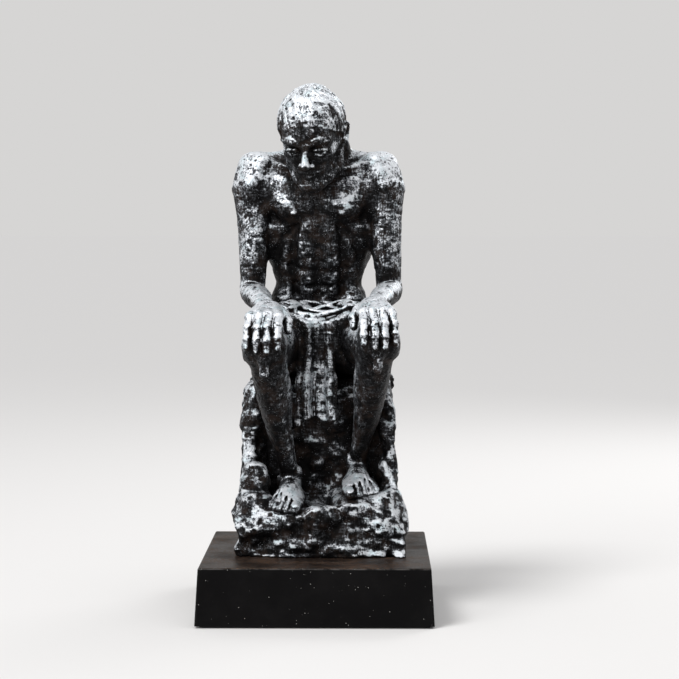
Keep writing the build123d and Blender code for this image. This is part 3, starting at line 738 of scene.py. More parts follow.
    def _mouth(self, g: Group, f: Frame) -> None:
        """Closed, resting lips.

        Args:
            g: the group.
            f: the head's frame.
        """
        g.add(f.lobe((0, -13.6, -13.6), (6.4, 4.2, 4.6)), 2.4)
        upper = [(-4.3, -15.6, -13.9), (-1.5, -17.5, -13), (0, -17.4, -13.3), (1.5, -17.5, -13),
                 (4.3, -15.6, -13.9)]
        g.add(f.tube(upper, [0.5, 0.95, 0.85, 0.95, 0.5]), 0.9)
        lower = [(-3.8, -15.7, -14.9), (0, -17.2, -15.6), (3.8, -15.7, -14.9)]
        g.add(f.tube(lower, [0.5, 1.15, 0.5]), 0.9)
        slit = [(-4.6, -16, -14.4), (0, -18.5, -14.3), (4.6, -16, -14.4)]
        g.carve(f.tube(slit, [0.3, 0.38, 0.3]), 0.5)
        g.carve(f.tube([(0, -18.7, -11.3), (0, -18.6, -12.4)], [0.5, 0.45]), 0.9)

    def _ears(self, g: Group, f: Frame) -> None:
        """Ears with a rim, a hollow and a lobe.

        Args:
            g: the group.
            f: the head's frame.
        """
        for h in f.halves():
            g.add(h.lobe((14.4, 2.2, -3.2), (1.7, 3.6, 5.4), 12), 1.2)
            rim = [
                (14.8, -0.8, -2.6), (15.9, -0.2, 1.2), (16.5, 2.6, 2.6),
                (16.6, 5.3, 0.4), (16, 5.2, -3.4), (15.2, 2.6, -7.2),
            ]
            g.add(h.tube(rim, [0.7, 0.85, 0.9, 0.85, 0.8, 1.1]), 0.6)
            g.carve(h.lobe((16.4, 2, -3), (1.5, 1.8, 2.6), 12), 0.7)
            g.add(h.lobe((15, -0.9, -4.6), (0.9, 0.9, 1.1)), 0.6)


class Hair(Form):
    """Short combed hair: a cap over the skull, above a slanting hairline, with combed locks."""

    def __init__(self, frame: Frame) -> None:
        """Keeps the head's frame.

        Args:
            frame: the head's frame.
        """
        self.frame = frame
        self.radii = np.array([16.2, 19.8, 16.3])
        self.centre = np.array([0, 1.7, 4.6])
        self.line_point = np.array([0, -14.8, 9.6])
        self.line_way = unit(np.array([0, 20.0, 30.0]))
        self.locks = Grain(11, 2.6)
        self.clumps = Grain(12, 5.5)
        self.low = frame.origin - 26
        self.high = frame.origin + 26

    def distance(self, x: Array, y: Array, z: Array) -> Array:
        """Signed distances from the cap, its locks and its hairline.

        Args:
            x, y, z: the places in mm.

        Returns:
            The distances.
        """
        p = [x - self.frame.origin[0], y - self.frame.origin[1], z - self.frame.origin[2]]
        q = [dot(p, axis) for axis in self.frame.axes]
        cap = Lobe(self.centre, tuple(self.radii)).distance(*q)
        crown_x, crown_y, crown_z = q[0], q[1] - 8.0, q[2] - 16.0
        round_crown = np.arctan2(crown_x, crown_y)
        from_crown = np.sqrt(crown_x**2 + crown_y**2 + crown_z**2)
        swirl = round_crown * 9.0 + from_crown * 0.35
        comb = 0.45 - np.abs(self.locks.at(swirl * 1.5, from_crown * 0.26, from_crown * 0.05)) * 1.9
        tuft = 0.3 - np.abs(self.clumps.at(swirl * 1.1, from_crown * 0.8, from_crown * 0.1)) * 1.6
        bend = 2.6 * self.clumps.at(q[0] * 0.45, q[1] * 0.45, q[2] * 0.45)
        strand = np.abs(np.sin(swirl * 1.25 + bend + from_crown * 0.1))
        cap = cap + 0.3 - 0.3 * strand - 0.45 * comb - 0.75 * tuft
        line = sum((c - a) * w for c, a, w in zip(q, self.line_point, self.line_way))
        wave = 0.9 * np.sin(q[0] * 0.55 + 0.6) + 0.8 * strand + 0.8 * comb
        return smooth_max(cap, -(line + wave), 0.3)


@dataclass(frozen=True)
class Digit:
    """A finger: its bones' lengths in mm, their angles below level in degrees, and its radii in mm."""

    lengths: tuple[float, ...]
    drops: tuple[float, ...]
    radii: tuple[float, ...]


@dataclass
class ArmClay:
    """Upper arm, forearm, and a hand that rests on the knee."""

    bones: Skeleton
    index: int
    side: int
    name: str
    palm_length: float = 16.0
    palm_tilt: float = 16.0
    finger_pitch: float = 4.35
    finger_shares: tuple[float, ...] = (0.93, 1.0, 0.96, 0.8)
    finger_fans: tuple[float, ...] = (1.5, 0.0, -1.0, -5.0)
    finger_bends: tuple[float, ...] = (-7.0, 1.0, 6.0, 10.0)
    finger: Digit = Digit((8.5, 6.3, 5.0), (34.0, 66.0, 84.0), (2.4, 2.25, 2.1, 1.7))

    def upper(self) -> Bone:
        """From shoulder to elbow."""
        b, i = self.bones, self.index
        return Bone(b.shoulders[i], b.elbows[i], (0, -1, 0), self.side)

    def fore(self) -> Bone:
        """From elbow to wrist, with the back of the hand up."""
        b, i = self.bones, self.index
        return Bone(b.elbows[i], b.wrists[i], (0, 0, 1), self.side)

    def shoulder_group(self) -> Group:
        """The upper arm alone, which flows into the torso.

        Returns:
            The group.
        """
        g = Group(f"{self.name}_shoulder", f"{self.name}_arm", 5.0)
        self._upper(g)
        return g

    def group(self) -> Group:
        """The whole arm.

        Returns:
            The group.
        """
        g = Group(f"{self.name}_arm", f"{self.name}_arm", 0.8)
        self._upper(g)
        self._fore(g)
        self._hand(g)
        return g

    def _upper(self, g: Group) -> None:
        """Shoulder cap, biceps and triceps.

        Args:
            g: the group.
        """
        u = self.upper()
        g.add(u.tube([(0, -0.5, 0), (0.5, 0, 0), (1, 0, 0)], [8.6, 7, 5.5]), 1)
        g.add(u.tube([(-0.08, -3, 5), (0.1, 1, 5.6), (0.42, 3.6, 2.6)], [5, 6.2, 2.4]), 2.6)
        g.add(u.tube([(-0.07, 1.4, 0), (0.12, 3.8, 0), (0.5, 4.2, 0.6)], [6.6, 7, 2.2]), 2.6)
        g.add(u.tube([(-0.06, -2, -5), (0.12, 1.4, -5.4), (0.42, 3.6, -1.8)], [5.4, 6, 2.4]), 2.6)
        g.add(u.muscle((0.2, -0.8, 3.8), (0.98, -0.4, 3), 5.6, 5.4), 2.2)
        g.add(u.muscle((0.08, -3.8, -2.8), (0.8, -2.8, -3.8), 4.6, 5), 2.4)
        g.add(u.muscle((0.18, 2.8, -3.6), (0.8, 2.6, -4), 4.6, 5), 2.4)
        g.add(u.muscle((0.45, 0.2, -3.6), (1.04, 0.2, -3.6), 4.4, 3.4), 2.2)
        g.add(u.muscle((0.4, 3.2, 1), (0.92, 3.4, 0.8), 2.6, 3), 2)

    def _fore(self, g: Group) -> None:
        """Elbow, and the forearm tapering to a flat wrist.

        Args:
            g: the group.
        """
        a = self.fore()
        g.add(a.tube([(0, 0, 0), (0.25, 0, 0), (0.55, 0, 0), (1, 0, 0)], [5.4, 6, 5, 3.9], 0.9), 2.4)
        g.add(Lobe(a.point((-0.07, 0.6, -1)), (3.6, 3.6, 3.6)), 2)
        g.add(a.muscle((-0.2, 3.2, 2.6), (0.62, 1.2, 2), 3.6, 3.4), 2.2)
        g.add(a.muscle((-0.02, 3.2, 0.2), (0.6, 3, 0.4), 3.2, 4), 2.2)
        g.add(a.muscle((-0.05, -3.4, -0.8), (0.62, -2.6, -0.6), 3.6, 4.2), 2.2)
        g.add(a.muscle((0, -0.4, -2.4), (0.66, -0.4, -2), 3.8, 3.4), 2.2)
        g.add(a.tube([(0.55, 3.4, 0.6), (0.92, 3.5, 0.9)], [1.6, 1.3]), 1.8)
        g.add(Lobe(a.point((0.93, 3.3, 1.8)), (1.7, 1.9, 1.6)), 1.4)
        g.add(a.tube([(0.2, -1.6, 5), (0.45, 0.6, 4.9), (0.7, -0.4, 3.8), (0.98, -1.6, 3.2)],
                     [0.45, 0.5, 0.5, 0.45]), 1.2)

    def _hand_ways(self) -> tuple[Array, Array, Array]:
        """Directions forwards, inwards and down from the wrist.

        Returns:
            The three directions.
        """
        wrist, knee = np.array(self.bones.wrists[self.index]), np.array(self.bones.knees[self.index])
        flat = unit((knee - wrist) * (1, 1, 0))
        forward = unit(flat + (0, -1, 0))
        inwards = np.cross(forward, (0, 0, 1)) * self.side
        return forward, inwards, np.array((0.0, 0.0, -1.0))

    def _hand(self, g: Group) -> None:
        """Palm, knuckles with their cords, fingers and thumb.

        Args:
            g: the group.
        """
        wrist = np.array(self.bones.wrists[self.index])
        forward, inwards, down = self._hand_ways()
        tilt = radians(self.palm_tilt)
        ahead = forward * cos(tilt) + down * sin(tilt)
        upwards = unit(np.cross(ahead, inwards)) * self.side
        if upwards[2] < 0:
            upwards = -upwards
        knuckles = wrist + ahead * self.palm_length
        for i, size in enumerate(self.finger_shares):
            aside = 1.5 - i
            root = wrist + ahead * 1.5 + inwards * (aside * 1.9)
            arch = upwards * (0.9 - 0.42 * aside * aside)
            knuckle = knuckles + inwards * (self.finger_pitch * aside) + arch - ahead * (0.35 * aside * aside)
            g.add(Tube([root, knuckle], [3.1, 2.5]), 1.5)
            g.add(Lobe(knuckle + upwards * 0.6, (2.3, 2.1, 2.1)), 0.9)
            g.add(Tube([root + upwards * 2.6 + ahead * 2, knuckle + upwards * 2 - ahead * 1.5],
                       [0.4, 0.5]), 1)
            fan = radians(self.finger_fans[i])
            self._digit(g, knuckle, forward * cos(fan) + inwards * sin(fan), down, size, self.finger_bends[i])
        g.add(Lobe(wrist + ahead * 7.5 - upwards * 0.8, (6.6, 7.6, 3),
                   np.array([inwards, ahead, upwards])), 2)
        thumb = [
            wrist + ahead * 2 + inwards * 3.2 - upwards * 0.6,
            wrist + ahead * 7 + inwards * 8 - upwards * 1.4,
            wrist + ahead * 12.6 + inwards * 10.6 - upwards * 3,
            wrist + ahead * 18.2 + inwards * 10.8 - upwards * 5.4,
        ]
        g.add(Tube(thumb, [3.2, 2.9, 2.2, 1.75]), 1.2)
        g.add(Lobe(thumb[2], (2.45, 2.45, 2.45)), 0.9)
        g.add(Tube([thumb[0], wrist + ahead * 11 + inwards * 5.5], [2.6, 2.2]), 2)
        self._nail(g, thumb[3] + upwards * 1.2 - ahead * 0.4, unit(thumb[3] - thumb[2]), inwards, 1.35)

    def _digit(self, g: Group, start: Array, forward: Array, down: Array, size: float, bend: float) -> None:
        """One finger that bends down over the knee.

        Args:
            g: the group that takes it.
            start: its knuckle.
            forward: the way that it points.
            down: the way that it bends.
            size: its share of the longest finger's size.
            bend: how many degrees more than the others it bends.
        """
        points = [start]
        for length, drop in zip(self.finger.lengths, self.finger.drops):
            angle = radians(drop + bend * cos(radians(drop)))
            points.append(points[-1] + (forward * cos(angle) + down * sin(angle)) * (length * size))
        scale = 0.6 + 0.4 * size
        g.add(Tube(points, [r * scale for r in self.finger.radii]), 0.6)
        for joint, radius in ((points[1], 2.4), (points[2], 2.2)):
            g.add(Lobe(joint + forward * 0.15, (radius * scale,) * 3), 0.8)
        way = unit(points[3] - points[2])
        side = unit(np.cross(way, forward))
        self._nail(g, points[3] + forward * 1.15 - way * 0.3, way, side, 1)

    def _nail(self, g: Group, centre: Array, way: Array, side: Array, half: float) -> None:
        """A nail as a thin raised plate."""
        side = unit(side - way * (side @ way))
        g.add(Lobe(centre, (half * 1.05, half * 1.4, 0.55), np.array([side, way, np.cross(side, way)])), 0.25)


@dataclass
class LegClay:
    """Thigh, knee, shin and foot."""

    bones: Skeleton
    index: int
    side: int
    name: str
    foot_length: float = 38.0
    heel_back: float = 11.0
    splay: float = 6.0
    toe_rows: tuple[tuple[float, float, float], ...] = (
        (6.4, 2.7, 8.0), (2.9, 2.1, 7.9), (-0.4, 2.0, 7.0), (-3.5, 1.9, 6.0), (-6.4, 1.8, 4.8),
    )

    def group(self) -> Group:
        """The whole leg.

        Returns:
            The group.
        """
        g = Group(f"{self.name}_leg", f"{self.name}_leg", 1.2)
        self._thigh(g)
        self._knee(g)
        self._shin(g)
        self._foot(g)
        return g

    def _thigh(self, g: Group) -> None:
        """Thigh with its front muscles, the teardrop by the knee and the hamstrings.

        Args:
            g: the group.
        """
        b, i = self.bones, self.index
        t = Bone(b.hips[i], b.knees[i], (0, 0, 1), self.side)
        g.add(t.tube([(-0.02, 0, 0), (0.3, 0, 0), (0.65, 0, 0), (0.95, 0, 0)], [14.6, 14.2, 11.6, 9.4]), 1)
        g.add(t.muscle((0.2, 5.5, 3.5), (0.93, 5, 1.8), 6, 5.8), 3)
        g.add(t.muscle((0.5, -5.2, 1.6), (0.97, -5.6, 0.8), 4.8, 5.6), 2.6)
        g.add(t.muscle((0.1, 0.5, 6.6), (0.92, 0, 4.6), 6, 5), 3)
        g.add(t.muscle((0.15, 3.5, -6), (0.95, 4.6, -5), 4.5, 5), 3)
        g.add(t.muscle((0.15, -3.5, -6), (0.97, -4.4, -5.2), 4.5, 5), 3)
        g.add(t.tube([(0.72, 7.2, -3.6), (1, 7.4, -5.4)], [1.8, 1.6]), 2)

    def _knee(self, g: Group) -> None:
        """Knee cap, the ends of the bones and the cord below the cap.

        Args:
            g: the group.
        """
        b, i, s = self.bones, self.index, self.side
        knee = np.array(b.knees[i])
        g.add(Lobe(knee + (0, 0.6, 0), (9.6, 9.4, 9.6)), 3)
        for way in (s, -s):
            g.add(Lobe(knee + (way * 4.6, -1.5, -1), (4.6, 6.4, 6.6)), 2.4)
        cap_axes = Frame(knee, np.array([[1, 0, 0], [0, cos(0.6), sin(0.6)], [0, -sin(0.6), cos(0.6)]]))
        g.add(cap_axes.lobe((0, -8, 2.6), (4.2, 3, 4.4)), 1.4)
        g.add(Tube([knee + (0, -8.6, -3.4), knee + (-s * 0.6, -7.4, -12.5)], [1.8, 2.2]), 3.6)
        for way in (1, -1):
            g.carve(Lobe(knee + (way * 3.6, -11.2, -4.6), (1.5, 1.7, 2)), 2)

    def _shin(self, g: Group) -> None:
        """Shin bone, calf and ankle.

        Args:
            g: the group.
        """
        b, i = self.bones, self.index
        s = Bone(b.knees[i], b.ankles[i], (0, -1, 0), self.side)
        core = [(0.03, 0, 0.5), (0.2, 0, 0.2), (0.45, 0, 0), (0.72, 0, -0.6), (0.98, 0, -0.4)]
        g.add(s.tube(core, [8, 7.4, 6, 4.6, 4.3]), 3)
        g.add(s.muscle((0.04, -3.4, -5.6), (0.62, -2.6, -4), 5.6, 6.2), 2.6)
        g.add(s.muscle((0.04, 3.2, -5.4), (0.56, 2.6, -3.8), 5, 5.8), 2.6)
        g.add(s.muscle((0.32, 0, -3.6), (0.86, 0, -3.2), 5.2, 4), 2.6)
        g.add(s.muscle((0.06, 3.2, 2.8), (0.72, 1.6, 2.2), 3.8, 4.2), 2.2)
        g.add(s.muscle((0.1, 5.4, -0.6), (0.74, 4, -1.2), 2.8, 3.6), 2.2)
        g.add(s.tube([(0.08, -0.6, 6.8), (0.4, -1.2, 5.2), (0.9, -1.2, 3)], [1.5, 1.2, 1]), 2)
        g.add(s.tube([(0.66, 0, -5.2), (0.9, 0, -6.2), (1.08, 0, -7.6)], [2, 1.6, 2.2]), 2)
        g.add(Lobe(s.point((0.97, -4.3, 0)), (2.1, 2.8, 2.8)), 1.6)
        g.add(Lobe(s.point((1.02, 4.2, -1)), (2, 2.6, 3)), 1.6)
        for way in (1, -1):
            g.carve(s.tube([(0.86, way * 3.4, -4.4), (1, way * 3.8, -4.8)], [1.2, 1.2]), 2.4)

    def _foot(self, g: Group) -> None:
        """Foot with its arch, cords, toes and nails, flat where it stands.

        Args:
            g: the group.
        """
        b, i, s = self.bones, self.index, self.side
        ankle = np.array(b.ankles[i])
        sole = ankle[2] - b.ankle_height
        turn = radians(self.splay) * s
        forward = np.array((sin(turn), -cos(turn), 0))
        inwards = np.array((-s * cos(turn), -s * sin(turn), 0))
        up = np.array((0, 0, 1.0))
        heel = np.array((ankle[0], ankle[1], sole)) - forward * self.heel_back

        def at(along: float, aside: float, height: float) -> Array:
            """A place on the foot: shares of its length, then mm inwards and up."""
            return heel + forward * (self.foot_length * along) + inwards * aside + up * height

        g.add(Lobe(at(0.15, 0, 5), (5.4, 6.2, 6)), 2.4)
        g.add(Tube([at(0.28, 0, 11), at(0.52, 0.6, 8.2), at(0.8, 0.6, 4.2)], [5.4, 4.8, 3.4]), 3)
        g.add(Tube([at(0.2, -3.4, 3.4), at(0.6, -5, 3.2), at(0.88, -5.6, 2.8)], [3.6, 3.4, 2.8]), 2.4)
        g.add(Tube([at(0.2, 2.6, 5), at(0.55, 4.4, 6), at(0.88, 5.6, 3.6)], [3.8, 3.4, 3.2]), 2.4)
        for place, (aside, radius, length) in enumerate(self.toe_rows):
            start = at(0.9 - 0.025 * place, aside, radius * 0.95 + 0.4)
            instep = at(0.4, aside * 0.32, 14 - 0.03 * aside * aside)
            middle = at(0.66, 0.3 + aside * 0.66, 10.2 - 0.045 * aside * aside)
            knuckle = start + up * (1.5 if place == 0 else 1.9)
            g.add(Tube([at(0.55, aside * 0.8, 5), start], [3, radius * 1.08]), 1.8)
            g.add(Tube([instep, middle, knuckle + up * 0.4], [0.5, 0.7, 0.8]), 1.1)
            bend = start + forward * (length * 0.45) + up * (0.2 if place == 0 else 1.2)
            tip = start + forward * length + up * (-0.3 if place == 0 else -0.55)
            g.add(Tube([start, bend, tip], [radius, radius * 0.96, radius * 0.98]), 0.6)
            g.add(Lobe(bend, (radius * 1.06,) * 3), 0.5)
            axes = np.array([inwards, forward * cos(0.5) - up * sin(0.5), up * cos(0.5) + forward * sin(0.5)])
            nail = tip + up * (radius * 0.66) + forward * (radius * 0.42)
            g.add(Lobe(nail, (radius * 0.62, radius * 0.62, 0.42), axes), 0.2)
        for left, right in zip(self.toe_rows, self.toe_rows[1:]):
            aside = (left[0] - left[1] + right[0] + right[1]) / 2
            ends = [at(0.72, aside * 0.8, 8.2 - 0.05 * aside * aside), at(0.92, aside, 5),
                    at(1.18, aside * 1.02, 2.8)]
            g.carve(Tube(ends, [0.35, 0.75, 0.9]), 0.9)
        g.carve(Lobe(at(0.45, 8.6, 0.5), (4.2, 8, 3)), 2.4)
        g.carve(Slab(tuple(at(0.5, 0, -10)), (40, 40, 10), 0.1), 0.6)


@dataclass
class LapClothClay:
    """The cloth round the hips and thighs, its rolled waistband and its hanging end."""

    bones: Skeleton
    thickness: float = 2.0
    hem_y: float = -6.0
    waist_point: Point = (0.0, 27.0, 143.0)
    waist_way: Point = (0.0, 0.26, 0.966)
    end_half_width: float = 10.6
    end_drop: float = 49.5
    spread_y: float = 34.0
    spread_share: float = 0.045
    lift_share: float = 0.03
    band_y: float = 43.2
    band_half: tuple[float, float] = (24.4, 17.2)
    band_turns: int = 24

    def shell_group(self) -> Group:
        """The plain body of the cloth, before it is trimmed.

        Returns:
            The group.
        """
        b = self.bones
        g = Group("cloth", "lap_cloth", 1)
        for i, side, _ in SIDES:
            t = Bone(b.hips[i], b.knees[i], (0, 0, 1), side)
            g.add(t.tube([(-0.05, 0, 0.4), (0.3, 0.4, 0.6), (0.65, 0, 0.8)], [17, 17.2, 14.8]), 8)
        g.add(Lobe((0, 41, 126), (28, 18.8, 20)), 5)
        g.add(Slab((1.5, 12, 127), (17, 19, 9.5), 8), 7)
        return g

    def folds(self) -> list[Step]:
        """Ridges and furrows from the waist to the knees, and swags that sag between them.

        Returns:
            The moves.
        """
        side_ridges = [
            ([(20, 34, 143), (14, 20, 143.5), (10, 6, 142), (15, -5, 141.5)], [1.4, 1.9, 1.7, 1.2]),
            ([(7, 29, 143.4), (5, 18, 140.6), (8, 8, 140.4)], [1.2, 1.5, 0.8]),
            ([(27, 40, 138), (29, 26, 138), (30.5, 12, 134.5), (30, -4, 137)], [1.5, 2.1, 2, 1.3]),
            ([(28, 46, 130), (31, 30, 128), (33, 14, 123.5), (34, -3, 125)], [1.5, 2.1, 2.1, 1.4]),
            ([(27, 48, 119), (30, 34, 116), (31, 18, 112), (31.5, 2, 114)], [1.4, 2, 2, 1.3]),
            ([(27, 49, 134), (25, 55.4, 126), (16, 58, 115)], [1.2, 1.9, 1.4]),
            ([(16, 57, 134), (9, 59.8, 124), (3, 58.8, 113)], [0.9, 1.5, 1.3]),
        ]
        side_furrows = [
            ([(24, 30, 143.5), (21, 16, 145), (20, 2, 144.5)], [0.8, 1.2, 0.9]),
            ([(31, 34, 134), (34, 18, 130.5), (35, 4, 130)], [0.8, 1.3, 1]),
            ([(30, 38, 124), (33.5, 22, 119.5), (34.5, 6, 118)], [0.8, 1.3, 1]),
            ([(24, 56.6, 131), (17, 60.2, 122), (9, 61.4, 113)], [0.7, 1.1, 0.8]),
        ]
        ridges = [self._fold(points, radii, s) for s in (-1, 1) for points, radii in side_ridges]
        for y, z, half, mid in ((-3, 137.4, 20, -2), (5.4, 138, 17, 5), (14.5, 139.6, 13, -3)):
            swag = [(-half, y + 6, z + 5.8), (mid - half / 2, y + 2, z + 2), (mid, y, z),
                    (mid + half / 2, y + 1, z + 2), (half + 1, y + 4, z + 5.8)]
            ridges.append(self._fold(swag, [0.5, 1.2, 1.7, 1.3, 0.5]))
        for z, radius in ((136, 1.2), (128, 1.5), (119, 1.4)):
            swag = [(-25, 50, z + 5), (-13, 58.4, z + 1), (1, 60.2, z - 1), (14, 58.4, z + 1),
                    (25, 50, z + 5)]
            ridges.append(self._fold(swag, [0.5, radius * 0.8, radius, radius * 0.8, 0.5]))
        furrows = [self._fold(points, radii, s) for s in (-1, 1) for points, radii in side_furrows]
        furrows.append(self._fold([(-13, 4.6, 141.2), (-1, 0.8, 138.8), (13, 4, 141.4)], [0.5, 1, 0.5]))
        return [Step(f, 1.9) for f in ridges] + [Step(f, 2.4, carve=True) for f in furrows]

    def _fold(self, points: list[Point], radii: list[float], side: int = 1) -> Tube:
        """One fold, moved along with the thighs, of which the left one lies further out and higher.

        Args:
            points: its line in mm.
            radii: its radius at each point in mm.
            side: -1 for the mirrored one.

        Returns:
            The fold.
        """
        moved = []
        for x, y, z in points:
            ahead, wide = max(self.spread_y - y, 0.0), min(abs(x) / 12, 1.0)
            lift = self.lift_share * ahead * wide if side * x > 0 else 0.0
            moved.append((side * x + self.spread_share * ahead * wide, y, z + lift))
        return Tube(moved, radii)

    def trimmed(self, clay: Clay, window: Window, values: Array) -> Array:
        """Cuts the cloth at its hem and at its waist, both a little wavy.

        Args:
            clay: the block that it lies in.
            window: the cells that values fill.
            values: the untrimmed cloth.

        Returns:
            The trimmed cloth.
        """
        x, y, z = clay.places(window)
        hem = self.hem_y + 0.9 * np.sin(x * 0.42 + 0.8) + 0.7 * np.sin(x * 0.95 + z * 0.31)
        _, py, pz = self.waist_point
        _, wy, wz = self.waist_way
        waist = (y - py) * wy + (z - pz) * wz
        return smooth_max(smooth_max(values, hem - y, 3.6), waist, 1.6)

    def waistband(self) -> list[Step]:
        """A twisted roll of cloth round the waist.

        Returns:
            The moves.
        """
        _, wy, wz = self.waist_way
        count = self.band_turns
        ring = []
        for k in range(count + 1):
            turn = 2 * pi * k / count
            x, y = self.band_half[0] * cos(turn), self.band_y + self.band_half[1] * sin(turn)
            z = self.waist_point[2] - (y - self.waist_point[1]) * wy / wz + 0.5 * sin(turn * 5)
            ring.append((x, y, z - 0.6))
        steps = [Step(Tube(ring, [2.1 + 0.35 * sin(1.9 * k) for k in range(count + 1)]), 1.2)]
        for k in range(count):
            a, b = np.array(ring[k]), np.array(ring[k + 1])
            out = unit(((a + b) / 2 - (0, self.band_y, a[2])) * (1, 1, 0))
            start = a + out * 2.3 + (0, 0, 1.9)
            steps.append(Step(Tube([start, b + out * 2.4 - (0, 0, 1.9)], [0.32, 0.32]), 0.9, carve=True))
        return steps

    def hanging_end(self) -> Form:
        """The folded end that hangs between the knees."""
        return HangingEnd(self.end_half_width, self.end_drop, self.hem_y)


class HangingEnd(Form):
    """A hanging strip of cloth with deepening folds and a stepped hem."""

    def __init__(self, half_width: float, drop: float, y: float) -> None:
        """Keeps the shape.

        Args:
            half_width: half its width in mm.
            drop: how far it hangs in mm.
            y: the plane that it hangs in.
        """
        self.half_width, self.drop, self.y = half_width, drop, y
        self.top = 135.5
        self.low = np.array((-half_width - 3, y - 6, self.top - drop - 1))
        self.high = np.array((half_width + 3, y + 6, self.top))

    def distance(self, x: Array, y: Array, z: Array) -> Array:
        """Signed distances, close enough for a thin sheet.

        Args:
            x, y, z: the places in mm.

        Returns:
            The distances.
        """
        down = np.clip((self.top - z) / self.drop, 0, 1)
        half = self.half_width * (0.74 + 0.26 * down) + 0.5 * np.sin(z * 0.31)
        across = (x + 0.3) * (1.35 - 0.35 * down) + 2.4 * np.sin(z * 0.075 + 0.4) * down
        main, second = 0.42, 1.02
        depth = 0.9 + 2.0 * down
        early, late = across * main + 0.7, across * second + 2.1 + z * 0.06
        wave = depth * (np.sin(early) + 0.42 * np.sin(late))
        slope = depth * (main * np.cos(early) + 0.42 * second * np.cos(late))
        hem = self.top - self.drop + 1.7 * np.sin(across * main + 2.0) + 0.8 * np.sin(across * 0.31) + 2.2
        thick = 1.05 + 0.35 * np.exp(-(((z - hem - 1.2) / 1.1) ** 2))
        sheet = np.abs(y - (self.y + 0.6 + wave + 1.4 * down)) / np.sqrt(1 + slope * slope) - thick
        sides = np.abs(x + 0.3) - half
        return smooth_max(smooth_max(sheet, sides, 0.8), smooth_max(hem - z, z - self.top, 0.8), 0.8)


